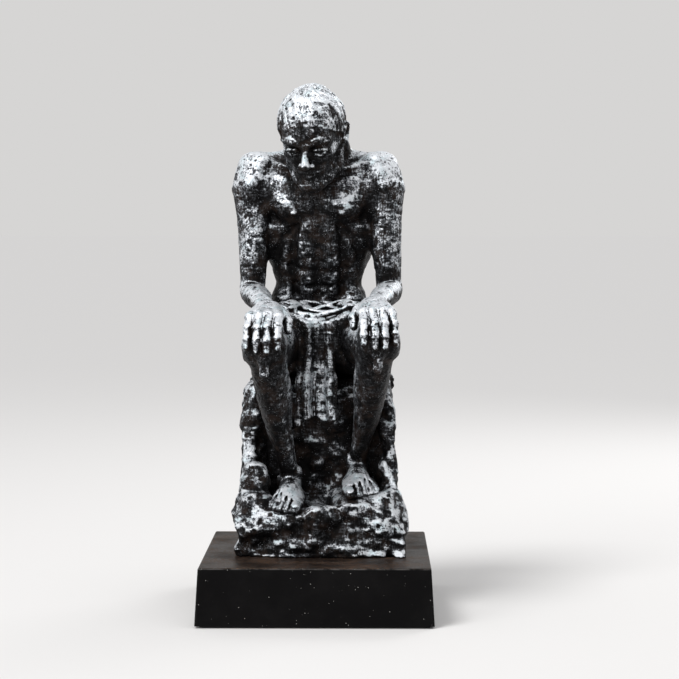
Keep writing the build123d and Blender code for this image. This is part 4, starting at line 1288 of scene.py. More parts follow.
class RockForm(Form):
    """The rough rock: a ledge for the feet, the seat's block, a step and a spur, hewn and weathered."""

    def __init__(self) -> None:
        """Sets the blocks and the chisel cuts."""
        self.low = np.array((-43.0, -36.0, 26.0))
        self.high = np.array((46.0, 61.0, 118.0))
        self.blocks = [
            (Slab((2, 13, 36.6), (39, 44, 10), 4.5), 1),
            (Slab((0, 32, 66), (36.6, 25.4, 40.6), 7), 5),
            (Slab((19.5, -3, 45.2), (12.5, 19, 7.4), 4), 3),
            (Lobe((29.5, 30, 98), (8.4, 21, 14.5)), 4),
            (Tube([(-34, -20, 45), (-34, -6, 51), (-32.5, 6, 66), (-30, 10, 92)], [5, 7.5, 7.5, 7]), 5),
            (Tube([(38, -22, 42), (37, -10, 49), (35, 2, 63), (33.5, 6, 86), (32, 11, 102)],
                  [6, 7.5, 6.6, 5.6, 5]), 4),
            (Lobe((2, 12, 88), (13, 8.5, 19)), 6),
            (Lobe((2, -24, 44.5), (16, 8, 4.6)), 4),
            (Tube([(-34, -24, 45), (-18, -28.5, 44), (0, -28, 46.5), (16, -25.5, 48), (33, -24, 46)],
                  [3.6, 3, 3.2, 3.4, 3.6]), 4.5),
            (Slab((-29.5, -5, 61.5), (7, 11, 7), 4), 3),
            (Slab((-29, -18, 47.5), (8, 9, 6.5), 4), 3),
            (Lobe((36, -16, 50), (6, 9, 7.5)), 3.5),
            (Lobe((-33, 22, 60), (7.5, 14, 12)), 6),
            (Lobe((34, 40, 58), (7, 14, 14)), 6),
            (Lobe((-6, 55, 80), (18, 6.5, 14)), 6),
        ]
        self.hollows = [
            (Lobe((23.5, 0, 74), (7.5, 8.5, 27)), 5),
            (Lobe((-19, 1, 74), (8, 7, 25)), 5),
            (Lobe((3, 2, 58), (9, 7, 9)), 4),
            (Tube([(-40, -34, 39), (-12, -35, 36), (14, -35, 40), (44, -33, 44)], [2.2, 2, 1.8, 2]), 4),
            (Tube([(-36, -36, 31), (-4, -35, 33), (20, -36.2, 31)], [2.2, 1.8, 2]), 4),
            (Tube([(40, -18, 33), (43.5, 6, 36), (42, 34, 33)], [2.4, 2.4, 2.6]), 4),
            (Tube([(-40, -16, 34), (-42, 12, 38), (-40, 44, 34)], [2.4, 2.6, 2.4]), 4),
        ]
        self.coarse = [Grain(21, 15), Grain(22, 7.2)]
        self.lumps = (1.7, 0.62)
        self.fine = [Grain(23, 3.6), Grain(24, 1.8)]
        self.bumps = (0.4, 0.24)
        self.treads = [
            Slab((-15, -9.5, 43), (11, 18.5, 4), 3.5),
            Slab((20.5, -3.5, 49), (10.5, 19.5, 4), 3.5),
        ]
        self.cuts = self._cuts()

    def _cuts(self) -> list[tuple[Array, float, Array]]:
        """Flat chisel faces: each a way out, how far out it lies, and where.

        Returns:
            The faces.
        """
        draw = np.random.default_rng(5)
        cuts = []
        for _ in range(40):
            turn, rise = draw.uniform(0, 2 * pi), draw.uniform(-0.3, 0.5)
            way = unit(np.array((cos(turn), sin(turn), rise)))
            reach = max(abs(way[0]) / 37, abs(way[1]) / 44)
            place = np.array((way[0] / reach, 14 + way[1] / reach, draw.uniform(34, 100)))
            cuts.append((way, float(way @ place) - draw.uniform(0.0, 1.2), place))
        return cuts

    def distance(self, x: Array, y: Array, z: Array) -> Array:
        """Signed distances from the weathered surface.

        Args:
            x, y, z: the places in mm.

        Returns:
            The distances.
        """
        bend_x = x + 1.6 * self.coarse[1].at(x + 50, y, z)
        bend_y = y + 1.6 * self.coarse[1].at(x, y + 30, z)
        bend_z = z + 1.4 * self.coarse[1].at(x, y, z + 70)
        rock = None
        for form, blend in self.blocks:
            found = form.distance(bend_x, bend_y, bend_z)
            rock = found if rock is None else smooth_min(rock, found, blend)
        for form, blend in self.hollows:
            rock = smooth_max(rock, -form.distance(bend_x, bend_y, bend_z), blend)
        for way, reach, place in self.cuts:
            near = ((x - place[0]) ** 2 + (y - place[1]) ** 2 + (z - place[2]) ** 2) / 15.0**2
            flat = dot([x, y, z], way) - reach - 2.5 * near
            rock = smooth_max(rock, np.where(near < 4, flat, -FAR), 1.0)
        for grain, amount in zip(self.coarse, self.lumps):
            rock = rock - amount * (np.abs(grain.at(x, y, z * 1.1)) * 1.7 - 0.5)
        for grain, amount in zip(self.fine, self.bumps):
            rock = rock - amount * grain.at(x, y, z * 1.5)
        tilt = 0.05 * x + 3.2 * self.coarse[0].at(x * 0.8, y, z * 0.4)
        tilt = tilt + 1.1 * self.coarse[1].at(x, y, z * 0.7)
        broken = np.clip(0.5 + 1.6 * self.coarse[1].at(x * 0.7 + 20, y, z), 0.1, 1)
        rock = rock + 0.11 * broken * np.clip((46 - z) / 6, 0, 1) * np.sin(z * 1.7 + tilt)
        rock = rock - 0.7 * np.exp(-(((z - 27.3) / 0.9) ** 2))
        for tread in self.treads:
            rock = smooth_min(rock, tread.distance(x, y, z) + 0.3 * self.fine[0].at(x, y, z), 5.0)
        rock = smooth_max(rock, np.abs(x - 0.4) - 38.0 - 5.0 * np.clip((58 - z) / 14, 0, 1), 2.5)
        return smooth_max(rock, 27.0 - z, 0.3)


@dataclass
class Casting:
    """One cast piece of the figure: its name, the size of its cells in mm, and its slot."""

    name: str
    step: float
    slot: str = "silvered_casting"


@dataclass
class Sculptor:
    """Works all the clay and casts the pieces. Sizes in mm."""

    quick_coarseness: float = 1.9
    figure_margin: float = 3.0
    figure_reach: float = 3.2
    cloth_margin: float = 4.0
    cloth_floor: float = 84.0
    rock_margin: float = 1.0
    rock_reach: float = 3.0
    shade_step: float = 1.3
    shade_reach: float = 11.0
    shade_corners: tuple[Point, Point] = ((-58, -66, -2), (58, 70, 262))
    shade_plinth: tuple[Point, Point] = ((0, 0, 14), (53.5, 62.5, 13))

    def __post_init__(self) -> None:
        """Gathers the groups of the figure and the coarse block of everything."""
        bones = Skeleton()
        arms = [ArmClay(bones, *side) for side in SIDES]
        legs = [LegClay(bones, *side) for side in SIDES]
        self.cloth = LapClothClay(bones)
        self.groups = [TorsoClay(bones).group(), HeadClay(bones).group()]
        self.groups += [arm.shoulder_group() for arm in arms]
        self.groups += [leg.group() for leg in legs]
        self.groups += [arm.group() for arm in arms]
        self.scale = 1.0
        self.everything = self._everything()

    def _everything(self) -> Clay:
        """A coarse block of the whole object, for the shade in its hollows.

        Returns:
            The block.
        """
        clay = Clay(*self.shade_corners, self.shade_step, self.shade_reach)
        for group in (*self.groups, self.cloth.shell_group()):
            self._join(clay, group)
        clay.work(Step(RockForm(), 1.0))
        clay.work(Step(Slab(*self.shade_plinth, 1.0), 0.5))
        return clay

    def _join(self, clay: Clay, group: Group) -> None:
        """Joins one group to a block.

        Args:
            clay: the block.
            group: the group.
        """
        found = clay.part(group)
        if found is not None:
            window, values = found
            clay.values[window] = smooth_min(clay.values[window], values, group.blend)

    def figure_casting(self, casting: Casting) -> Clay:
        """The clay of one casting of the figure, cut where it meets its neighbours.

        Args:
            casting: which one.

        Returns:
            Its clay.
        """
        boxes = [g.box() for g in self.groups if g.casting == casting.name]
        low = np.min([b[0] for b in boxes], 0) - self.figure_margin
        high = np.max([b[1] for b in boxes], 0) + self.figure_margin
        clay = Clay(low, high, casting.step * self.scale, self.figure_reach)
        own, rest = np.full_like(clay.values, FAR), np.full_like(clay.values, FAR)
        for group in self.groups:
            found = clay.part(group)
            if found is None:
                continue
            window, values = found
            clay.values[window] = smooth_min(clay.values[window], values, group.blend)
            side = own if group.casting == casting.name else rest
            side[window] = np.minimum(side[window], values)
        region = (own - rest) / 2
        clay.values = clay.values + DIVE_SHARE * np.maximum(region, 0)
        clay.values = smooth_max(clay.values, region - SEAM_LAP, 0.3)
        return clay

    def cloth_casting(self, casting: Casting) -> Clay:
        """The clay of the lap cloth.

        Args:
            casting: which one.

        Returns:
            Its clay.
        """
        shell, end, margin = self.cloth.shell_group(), self.cloth.hanging_end(), self.cloth_margin
        low, high = shell.box()
        low, high = np.minimum(low, end.low) - margin, np.maximum(high, end.high) + margin
        clay = Clay(low, high, casting.step * self.scale, margin)
        body = Clay(low, high, casting.step * self.scale, margin)
        for group in self.groups:
            if group.name in ("torso", "right_leg", "left_leg"):
                self._join(body, group)
        self._join(clay, shell)
        clay.values = smooth_min(clay.values, body.values - self.cloth.thickness, 2.0)
        for step in self.cloth.folds():
            clay.work(step)
        window = clay.window(low, high)
        clay.values = self.cloth.trimmed(clay, window, clay.values[window])
        for step in self.cloth.waistband():
            clay.work(step)
        clay.work(Step(end, 3.2))
        above = self.cloth_floor - clay.places(window)[2]
        clay.values = np.maximum(clay.values, above).astype(np.float32)
        return clay

    def rock_casting(self, casting: Casting) -> Clay:
        """The clay of the rock.

        Args:
            casting: which one.

        Returns:
            Its clay.
        """
        form = RockForm()
        low, high = form.low - self.rock_margin, form.high + self.rock_margin
        clay = Clay(low, high, casting.step * self.scale, self.rock_reach)
        clay.work(Step(form, 0.1))
        return clay


@dataclass(frozen=True)
class Roughening:
    """The fine unevenness of a cast surface: heights in mm at a few sizes of grain, and its pits."""

    sizes: tuple[float, ...] = (3.4, 1.7, 0.85)
    heights: tuple[float, ...] = (0.13, 0.1, 0.07)
    pit_size: float = 2.3
    pit_depth: float = 0.28
    pit_edge: float = 0.3
    seed: int = 40

    def at(self, p: Array) -> Array:
        """How far each point moves outwards in mm.

        Args:
            p: the points in mm, one in each row.

        Returns:
            A height for each.
        """
        height = 0.0
        for k, (size, amount) in enumerate(zip(self.sizes, self.heights)):
            height = height + amount * Grain(self.seed + k, size).at(*p.T)
        pits = Grain(self.seed + 9, self.pit_size).at(*p.T)
        deep = np.clip((pits - self.pit_edge) / 0.25, 0, 1)
        return height - self.pit_depth * deep * deep * (3 - 2 * deep)


@dataclass
class MeshMaker:
    """Turns clay into Blender meshes with the marks that the finish reads, among them the painted shade where
    the whole object closes in. Sizes in mm.
    """

    everything: Clay
    fine_gaps: tuple[float, ...] = (0.8, 1.6, 3.0)
    broad_gaps: tuple[float, ...] = (3.0, 6.0, 10.0)
    thin_share: float = 0.35
    hollow_range: tuple[float, float] = (-0.9, 2.2)
    passes: int = 400

    def normals(self, points: Array, faces: Array) -> Array:
        """Each point's outward direction, from the faces round it.

        Args:
            points: corner points in mm.
            faces: each face's four corners.

        Returns:
            A unit row for each point.
        """
        a, b, c, d = (points[faces[:, k]] for k in range(4))
        face_ways = np.cross(c - a, d - b)
        ways = np.zeros_like(points)
        for k in range(4):
            for axis in range(3):
                ways[:, axis] += np.bincount(faces[:, k], face_ways[:, axis], len(points))
        return ways / (np.linalg.norm(ways, axis=1)[:, None] + 1e-12)

    def largest(self, points: Array, faces: Array) -> tuple[Array, Array]:
        """Drops crumbs that aren't joined to the piece's main body.

        Args:
            points: corner points in mm.
            faces: each face's four corners.

        Returns:
            The main body's points and faces.
        """
        label = np.arange(len(points))
        for _ in range(self.passes):
            low = label[faces].min(1)
            new = label.copy()
            for k in range(4):
                np.minimum.at(new, faces[:, k], low)
            new = new[new]
            if np.array_equal(new, label):
                break
            label = new
        names, counts = np.unique(label[faces[:, 0]], return_counts=True)
        keep = names[counts.argmax()]
        faces = faces[label[faces[:, 0]] == keep]
        used, index = np.unique(faces, return_inverse=True)
        return points[used], index.reshape(faces.shape)

    def make(self, clay: Clay, casting: Casting, rough: Roughening) -> bpy.types.Object:
        """Casts one piece.

        Args:
            clay: its distances.
            casting: its name and what it stands for.
            rough: the unevenness of its surface.

        Returns:
            The Blender object, at the origin and in metres.
        """
        points, faces = self.largest(*clay.skin())
        ways = self.normals(points, faces)
        fine = np.zeros(len(points), np.float32)
        for gap in self.fine_gaps:
            fine += (gap - clay.read(points + ways * gap)) / gap
            fine -= (gap + np.minimum(clay.read(points - ways * gap), -self.thin_share * gap)) / gap
        # Painted shade: how much the whole object closes in round each point, 3 to 10 mm out; the finish
        # darkens the colour there.
        painted_shade = np.zeros(len(points), np.float32)
        for gap in self.broad_gaps:
            near = 1 - self.everything.read(points + ways * (gap + 0.6)) / gap
            painted_shade += np.clip(near, 0, 1) / len(self.broad_gaps)
        height = rough.at(points)
        points = points + ways * height[:, None]
        mesh = bpy.data.meshes.new(casting.name)
        mesh.vertices.add(len(points))
        mesh.vertices.foreach_set("co", (points * MM).astype(np.float32).ravel())
        mesh.loops.add(faces.size)
        mesh.loops.foreach_set("vertex_index", faces.astype(np.int32).ravel())
        mesh.polygons.add(len(faces))
        mesh.polygons.foreach_set("loop_start", np.arange(0, faces.size, 4, dtype=np.int32))
        mesh.update(calc_edges=True)
        mesh.validate()
        mesh.polygons.foreach_set("use_smooth", np.ones(len(mesh.polygons), bool))
        marks = {"hollow": np.clip(fine, *self.hollow_range), "shade": painted_shade, "grain": height}
        for label, values in marks.items():
            layer = mesh.attributes.new(label, "FLOAT", "POINT")
            layer.data.foreach_set("value", values.astype(np.float32))
        return put_in_scene(casting.name, mesh)


class Socket(Enum):
    """Kinds of value that a group of nodes takes in or gives out."""

    NUMBER = "NodeSocketFloat"
    GEOMETRY = "NodeSocketGeometry"


class Weaver:
    """Lays nodes in a tree and links them."""

    def __init__(self, tree: bpy.types.NodeTree) -> None:
        """Keeps the tree and empties it."""
        self.tree = tree
        self.tree.nodes.clear()

    def add(self, kind: str, values: dict | None = None, **settings: object) -> bpy.types.Node:
        """Adds a node.

        Args:
            kind: what kind of node.
            values: what its inputs take, by name or place.
            settings: its own settings.

        Returns:
            The node.
        """
        node = self.tree.nodes.new(kind)
        for name, value in settings.items():
            setattr(node, name, value)
        self.fill(node, values or {})
        return node

    def fill(self, node: bpy.types.Node, values: dict) -> None:
        """Feeds a node's inputs with values by name or place."""
        for name, value in values.items():
            self.feed(node.inputs[name], value)

    def feed(self, socket: Wire, value: object) -> None:
        """Links a socket to another, or sets its value.

        Args:
            socket: the socket that is fed.
            value: a socket, a value, or None for what it has.
        """
        if isinstance(value, Wire):
            self.tree.links.new(value, socket)
        elif value is not None:
            socket.default_value = value

    def math(self, work: str, a: object, b: object = None) -> Wire:
        """One sum of a and b."""
        return self.add("ShaderNodeMath", {0: a, 1: b}, operation=work).outputs[0]

    def weighed(self, start: object, *terms: tuple[object, float]) -> Wire:
        """Adds values times their weights to a start value.

        Args:
            start: the start value.
            terms: each value and its weight.

        Returns:
            The total.
        """
        total = start
        for value, weight in terms:
            sums = {0: value, 1: weight, 2: total}
            total = self.add("ShaderNodeMath", sums, operation="MULTIPLY_ADD").outputs[0]
        return total

    def rise(self, value: object, low: float, high: float) -> Wire:
        """Rises smoothly from 0 at low to 1 at high."""
        ends = {"Value": value, "From Min": low, "From Max": high}
        return self.add("ShaderNodeMapRange", ends, interpolation_type="SMOOTHSTEP").outputs["Result"]

    def place(self) -> Wire:
        """Where on the piece a point lies."""
        return self.add("ShaderNodeTexCoord").outputs["Object"]

    def noise(self, place: object, size_mm: float, detail: float = 2.0, rough: float = 0.5) -> Wire:
        """Cloudy noise whose clouds are about this big, from 0 to 1."""
        clouds = {"Vector": place, "Scale": METRE / size_mm, "Detail": detail, "Roughness": rough}
        return self.add("ShaderNodeTexNoise", clouds).outputs["Fac"]

    def dots(self, place: object, size_mm: float) -> Wire:
        """Distance from scattered points this far apart, as a share of that."""
        scattered = {"Vector": place, "Scale": METRE / size_mm}
        return self.add("ShaderNodeTexVoronoi", scattered).outputs["Distance"]

    def shifted(self, place: object, by: Point) -> Wire:
        """The same place moved, for a pattern of its own."""
        return self.add("ShaderNodeVectorMath", {0: place, 1: by}, operation="ADD").outputs[0]

    def mix(self, share: object, a: object, b: object) -> Wire:
        """Mixes two colours.

        Args:
            share: how much of b there is, from 0 to 1.
            a: one colour.
            b: the other colour.

        Returns:
            The mixed colour.
        """
        node = self.add("ShaderNodeMix", {0: share}, data_type="RGBA")
        sockets = [socket for socket in node.inputs if socket.type == "RGBA"]
        for socket, colour in zip(sockets, (a, b)):
            self.feed(socket, colour if isinstance(colour, Wire) else (*colour, 1.0))
        return next(socket for socket in node.outputs if socket.type == "RGBA")

    def mark(self, name: str) -> Wire:
        """A number that the mesh carries at each point."""
        return self.add("ShaderNodeAttribute", attribute_name=name).outputs["Fac"]

    def upward(self) -> Wire:
        """1 where the surface faces up, -1 where it faces down."""
        normal = self.add("ShaderNodeNewGeometry").outputs["Normal"]
        return self.add("ShaderNodeSeparateXYZ", {0: normal}).outputs["Z"]

    def bump(self, height: object, depth_mm: float) -> Wire:
        """A surface direction for small relief of this depth."""
        relief = {"Distance": depth_mm * MM, "Height": height}
        return self.add("ShaderNodeBump", relief).outputs["Normal"]


def start_group(name: str, kind: str, takes: tuple[str, ...], gives: dict[str, Socket]) -> tuple:
    """Starts a group of nodes.

    Args:
        name: the group's name.
        kind: its kind of tree.
        takes: the names of the numbers that it takes.
        gives: what it gives, by name.

    Returns:
        A weaver for its tree, its input sockets and its output sockets, by name.
    """
    tree = bpy.data.node_groups.new(name, kind)
    for label in takes:
        tree.interface.new_socket(label, in_out="INPUT", socket_type=Socket.NUMBER.value)
    for label, given in gives.items():
        tree.interface.new_socket(label, in_out="OUTPUT", socket_type=given.value)
    weaver = Weaver(tree)
    start, end = weaver.add("NodeGroupInput"), weaver.add("NodeGroupOutput")
    return weaver, dict(start.outputs.items()), dict(end.inputs.items())


class Groups:
    """Shader groups for the effects that more than one finish uses."""

    def __init__(self) -> None:
        """Builds the groups."""
        self.patina_and_painted_light = self._patina_and_painted_light()
        self.dust = self._dust()

    def _patina_and_painted_light(self) -> bpy.types.NodeTree:
        """Where silver stays bright and where the black wash lies, with specks of each in the other, and
        painted light and shade: faces that turn up are lighter and places that other parts close in are
        darker.

        Returns:
            The group's tree.
        """
        marks = ("Hollow", "Shade", "Grain", "Wash")
        masks = dict.fromkeys(("Bright", "Brown", "Verdigris", "Relief"), Socket.NUMBER)
        w, given, out = start_group("patina_and_painted_light", "ShaderNodeTree", marks, masks)
        place = w.place()
        cloud = w.rise(w.noise(place, 5, 3, 0.6), 0.36, 0.64)
        grit = w.rise(w.noise(w.shifted(place, (0.3, 0.1, 0.2)), 0.8, 3, 0.7), 0.36, 0.64)
        brushed = self._stroked(w, place)
        # Painted light and shade: faces that turn up count as lighter, partly for silver rubbed on from above
        # and partly as painted light from above; Shade darkens as painted shade where other parts close in.
        # Hollow is the wash in the hollows, Grain the raised grain.
        raised = w.weighed(0.24, (w.math("MINIMUM", w.upward(), 0.5), 0.8), (given["Hollow"], -0.24),
                           (given["Shade"], -0.74), (given["Wash"], -0.5), (given["Grain"], 0.9))
        raised = w.weighed(raised, (cloud, 0.22), (grit, 0.25), (brushed, 0.32))
        bright = w.rise(raised, 0.36, 1.08)
        pits = w.dots(w.shifted(place, (0.02, 0.05, 0.01)), 1.45)
        pits = w.rise(w.weighed(pits, (grit, 0.24), (brushed, 0.12)), 0.5, 0.32)
        rare = w.rise(w.noise(w.shifted(place, (0.5, 0.2, 0.4)), 3, 2), 0.44, 0.56)
        bright = w.math("MULTIPLY", bright, w.weighed(1, (w.math("MULTIPLY", pits, rare), -0.92)))
        specks = w.rise(w.dots(w.shifted(place, (0.07, 0.01, 0.09)), 0.8), 0.26, 0.1)
        some = w.rise(w.noise(w.shifted(place, (0.6, 0.7, 0.2)), 4, 2), 0.44, 0.6)
        bright = w.math("MAXIMUM", bright, w.math("MULTIPLY", w.math("MULTIPLY", specks, some), 0.62))
        bright = w.math("MAXIMUM", bright,
                        w.math("MULTIPLY", w.rise(w.weighed(raised, (brushed, 0.5)), 0.2, 0.9), 0.2))
        w.feed(out["Bright"], bright)
        # Brown: where the black takes a warm tint, partly a painted warm reflection, laid by random clouds.
        w.feed(out["Brown"], w.rise(w.noise(w.shifted(place, (0.9, 0.4, 0.1)), 7, 3, 0.6), 0.46, 0.66))
        w.feed(out["Verdigris"], w.rise(w.noise(w.shifted(place, (0.2, 0.8, 0.6)), 6, 3, 0.62), 0.48, 0.66))
        fine = w.noise(w.shifted(place, (0.4, 0.4, 0.4)), 0.5, 2, 0.6)
        w.feed(out["Relief"], w.weighed(0.0, (fine, 0.5), (grit, 0.35), (brushed, 0.25), (pits, -0.5)))
        return w.tree

    def _stroked(self, w: Weaver, place: Wire) -> Wire:
        """Short slanting strokes of a dry brush, from 0 to 1.

        Args:
            w: the group's weaver.
            place: where on the piece.

        Returns:
            The strokes.
        """
        strokes = []
        for turn, scale in ((0.5, (1, 1, 0.22)), (-0.7, (0.25, 1, 1))):
            brush = {"Vector": place, "Rotation": (turn * 0.4, turn, turn * 0.6), "Scale": scale}
            slanted = w.add("ShaderNodeMapping", brush).outputs[0]
            strokes.append(w.rise(w.noise(slanted, 0.85, 2, 0.6), 0.38, 0.62))
        return w.math("MULTIPLY", w.weighed(0.0, (strokes[0], 1), (strokes[1], 1)), 0.5)

    def _dust(self) -> bpy.types.NodeTree:
        """Settled dust: a fine film that gathers where the surface faces up, and single bright grains.

        Returns:
            The group's tree.
        """
        masks = dict.fromkeys(("Film", "Grains", "Smudge"), Socket.NUMBER)
        w, _, out = start_group("settled_dust", "ShaderNodeTree", (), masks)
        place = w.place()
        fine = w.rise(w.noise(place, 0.7, 3, 0.7), 0.42, 0.66)
        cloud = w.rise(w.noise(w.shifted(place, (0.1, 0.6, 0.3)), 16, 4, 0.6), 0.36, 0.68)
        level = w.rise(w.upward(), 0.55, 0.98)
        w.feed(out["Film"],
               w.math("MULTIPLY", level, w.math("MULTIPLY", fine, w.weighed(0.25, (cloud, 0.75)))))
        grain = w.rise(w.dots(place, 1.5), 0.13, 0.07)
        few = w.rise(w.noise(w.shifted(place, (0.7, 0.3, 0.5)), 3.4, 2), 0.56, 0.62)
        w.feed(out["Grains"], w.math("MULTIPLY", grain, few))
        w.feed(out["Smudge"], w.rise(w.noise(w.shifted(place, (0.3, 0.9, 0.8)), 22, 5, 0.62), 0.4, 0.72))
        return w.tree


@dataclass(frozen=True)
class Finish(ABC):
    """A finish with a material of its own."""

    name: str

    @abstractmethod
    def dress(self, w: Weaver, shader: bpy.types.Node, groups: Groups) -> None:
        """Lays the nodes that feed the shader, with the shared groups."""

    def build(self, groups: Groups) -> bpy.types.Material:
        """The finished material.

        Args:
            groups: the shared groups.

        Returns:
            The material.
        """
        material = bpy.data.materials.new(self.name)
        material.use_nodes = True
        w = Weaver(material.node_tree)
        shader = w.add("ShaderNodeBsdfPrincipled")
        self.dress(w, shader, groups)
        w.add("ShaderNodeOutputMaterial", {"Surface": shader.outputs[0]})
        return material


@dataclass(frozen=True)
class Silvered(Finish):
    """Silver paint rubbed bright over a black wash, which stays in the hollows, with painted light and shade:
    lighter on faces that turn up, darker where other parts close in.
    """

    silver: Point = (0.75, 0.78, 0.82)
    pale: Point = (0.52, 0.62, 0.66)
    grey: Point = (0.185, 0.196, 0.215)
    black: Point = (0.0035, 0.0032, 0.0034)
    brown: Point = (0.018, 0.012, 0.0095)
    wash: float = 0.0
    relief_mm: float = 0.16
    metal: float = 0.5

    def dress(self, w: Weaver, shader: bpy.types.Node, groups: Groups) -> None:
        """Lays silver, grey, black and brown by the masks of the patina and of the painted light and shade.

        Args:
            w: the tree's weaver.
            shader: what the nodes feed.
            groups: the shared groups.
        """
        marks = {name: w.mark(name.lower()) for name in ("Hollow", "Shade", "Grain")}
        patina_and_painted_light = w.add("ShaderNodeGroup", {**marks, "Wash": self.wash}, node_tree=groups.patina_and_painted_light).outputs
        # bright holds the rubbed silver together with painted light on upward faces and painted shade where
        # other parts close in.
        bright = patina_and_painted_light["Bright"]
        # The brown in the black is partly a painted warm reflection.
        dark = w.mix(patina_and_painted_light["Brown"], self.black, self.brown)
        light = w.mix(w.math("MULTIPLY", patina_and_painted_light["Verdigris"], 0.75), self.silver, self.pale)
        low = w.mix(w.rise(bright, 0.05, 0.62), dark, self.grey)
        w.fill(shader, {
            "Base Color": w.mix(w.rise(bright, 0.35, 1.0), low, light),
            "Metallic": w.weighed(0.25, (w.rise(bright, 0.05, 0.5), self.metal - 0.25)),
            "Roughness": w.weighed(0.5, (bright, -0.12)),
            "Specular IOR Level": 0.1,
            "Normal": w.bump(patina_and_painted_light["Relief"], self.relief_mm),
        })


@dataclass(frozen=True)
class BlackLacquer(Finish):
    """Satin black lacquer with settled dust, smudges and edges rubbed paler."""

    black: Point = (0.003, 0.0028, 0.003)
    film: Point = (0.165, 0.1, 0.066)
    grain: Point = (0.5, 0.49, 0.46)
    worn: Point = (0.06, 0.056, 0.054)

    def dress(self, w: Weaver, shader: bpy.types.Node, groups: Groups) -> None:
        """Lays lacquer, worn edges, the film of dust and its grains.

        Args:
            w: the tree's weaver.
            shader: what the nodes feed.
            groups: the shared groups.
        """
        dust = w.add("ShaderNodeGroup", node_tree=groups.dust).outputs
        up = w.upward()
        edge = w.math("MULTIPLY", w.rise(up, 0.1, 0.45), w.rise(up, 0.97, 0.8))
        patchy = w.rise(w.noise(w.place(), 5.0, 4.0, 0.65), 0.34, 0.62)
        base = w.mix(w.math("MULTIPLY", edge, patchy), self.black, self.worn)
        base = w.mix(w.math("MULTIPLY", dust["Smudge"], 0.04), base, self.worn)
        base = w.mix(w.math("MULTIPLY", dust["Film"], 0.85), base, self.film)
        rough = w.weighed(0.3, (dust["Smudge"], 0.16), (dust["Film"], 0.4), (edge, 0.1))
        wave = w.noise(w.shifted(w.place(), (0.6, 0.2, 0.7)), 4.0, 3.0, 0.5)
        w.fill(shader, {
            "Base Color": w.mix(dust["Grains"], base, self.grain),
            "Roughness": w.math("MINIMUM", rough, 0.9),
            "Specular IOR Level": 0.05,
            "Normal": w.bump(wave, 0.05),
        })


@dataclass(frozen=True)
class Plain(Finish):
    """A hidden part's finish: one colour that varies with a grain of its own."""

    colour: Point
    second: Point
    metal: float
    rough: float
    grain_mm: float
    relief_mm: float

    def dress(self, w: Weaver, shader: bpy.types.Node, groups: Groups) -> None:
        """Lays the two colours by a cloudy grain.

        Args:
            w: the tree's weaver.
            shader: what the nodes feed.
            groups: the shared groups, not used.
        """
        grain = w.noise(w.place(), self.grain_mm, 4.0, 0.65)
        w.fill(shader, {
            "Base Color": w.mix(w.rise(grain, 0.35, 0.65), self.colour, self.second),
            "Roughness": w.weighed(self.rough - 0.06, (grain, 0.12)),
            "Metallic": self.metal,
            "Normal": w.bump(grain, self.relief_mm),
        })


class Paintbox:
    """Every material of the ornament, by its slot in the record."""

    def __init__(self) -> None:
        """Builds the materials."""
        groups = Groups()
        finishes = [
            Silvered("silvered_casting"),
            Silvered("silvered_rock", wash=0.22, relief_mm=0.24, silver=(0.62, 0.645, 0.675)),
            BlackLacquer("black_plinth"),
            Plain("black_felt", (0.012, 0.012, 0.012), (0.03, 0.03, 0.03), 0.0, 0.95, 0.5, 0.15),
            Plain("fibreboard", (0.3, 0.19, 0.1), (0.42, 0.29, 0.17), 0.0, 0.8, 0.9, 0.08),
            Plain("zinc_steel", (0.58, 0.59, 0.6), (0.66, 0.66, 0.65), 1.0, 0.34, 1.6, 0.02),
            Plain("insert_brass", (0.72, 0.52, 0.22), (0.8, 0.61, 0.3), 1.0, 0.3, 1.2, 0.02),
            Plain("ballast_iron", (0.1, 0.1, 0.1), (0.22, 0.2, 0.19), 0.7, 0.62, 1.8, 0.2),
        ]
        self.materials = {finish.name: finish.build(groups) for finish in finishes}

    def paint(self, piece: bpy.types.Object, slot: str) -> None:
        """Gives a piece the material of a slot, in all its places.

        Args:
            piece: the piece.
            slot: the slot's name.
        """
        material = self.materials[slot]
        if not piece.material_slots:
            piece.data.materials.append(material)
        for place in piece.material_slots:
            place.material = material


@dataclass
class CastFigure:
    """The seated figure, its lap cloth and its rock, cast in pieces that dowels hold together."""

    torso_step: float = 0.54
    leg_step: float = 0.44
    arm_step: float = 0.36
    head_step: float = 0.338
    cloth_step: float = 0.51
    rock_step: float = 0.72
    figure_rough: Roughening = Roughening()
    rock_rough: Roughening = Roughening((3.0, 1.7, 0.95), (0.16, 0.16, 0.12), 2.6, 0.5, 0.2, 60)

    def build(self) -> Iterator[tuple[bpy.types.Object, Casting]]:
        """Casts every piece, one after the other.

        Returns:
            Each piece with its casting, in turn.
        """
        sculptor = Sculptor()
        maker = MeshMaker(sculptor.everything)
        steps = {"torso": self.torso_step, "head": self.head_step}
        steps |= {f"{side}_arm": self.arm_step for _, _, side in SIDES}
        steps |= {f"{side}_leg": self.leg_step for _, _, side in SIDES}
        for name, step in steps.items():
            casting = Casting(name, step)
            yield maker.make(sculptor.figure_casting(casting), casting, self.figure_rough), casting
        cloth = Casting("lap_cloth", self.cloth_step)
        yield maker.make(sculptor.cloth_casting(cloth), cloth, self.figure_rough), cloth
        rock = Casting("rock_seat", self.rock_step, "silvered_rock")
        yield maker.make(sculptor.rock_casting(rock), rock, self.rock_rough), rock


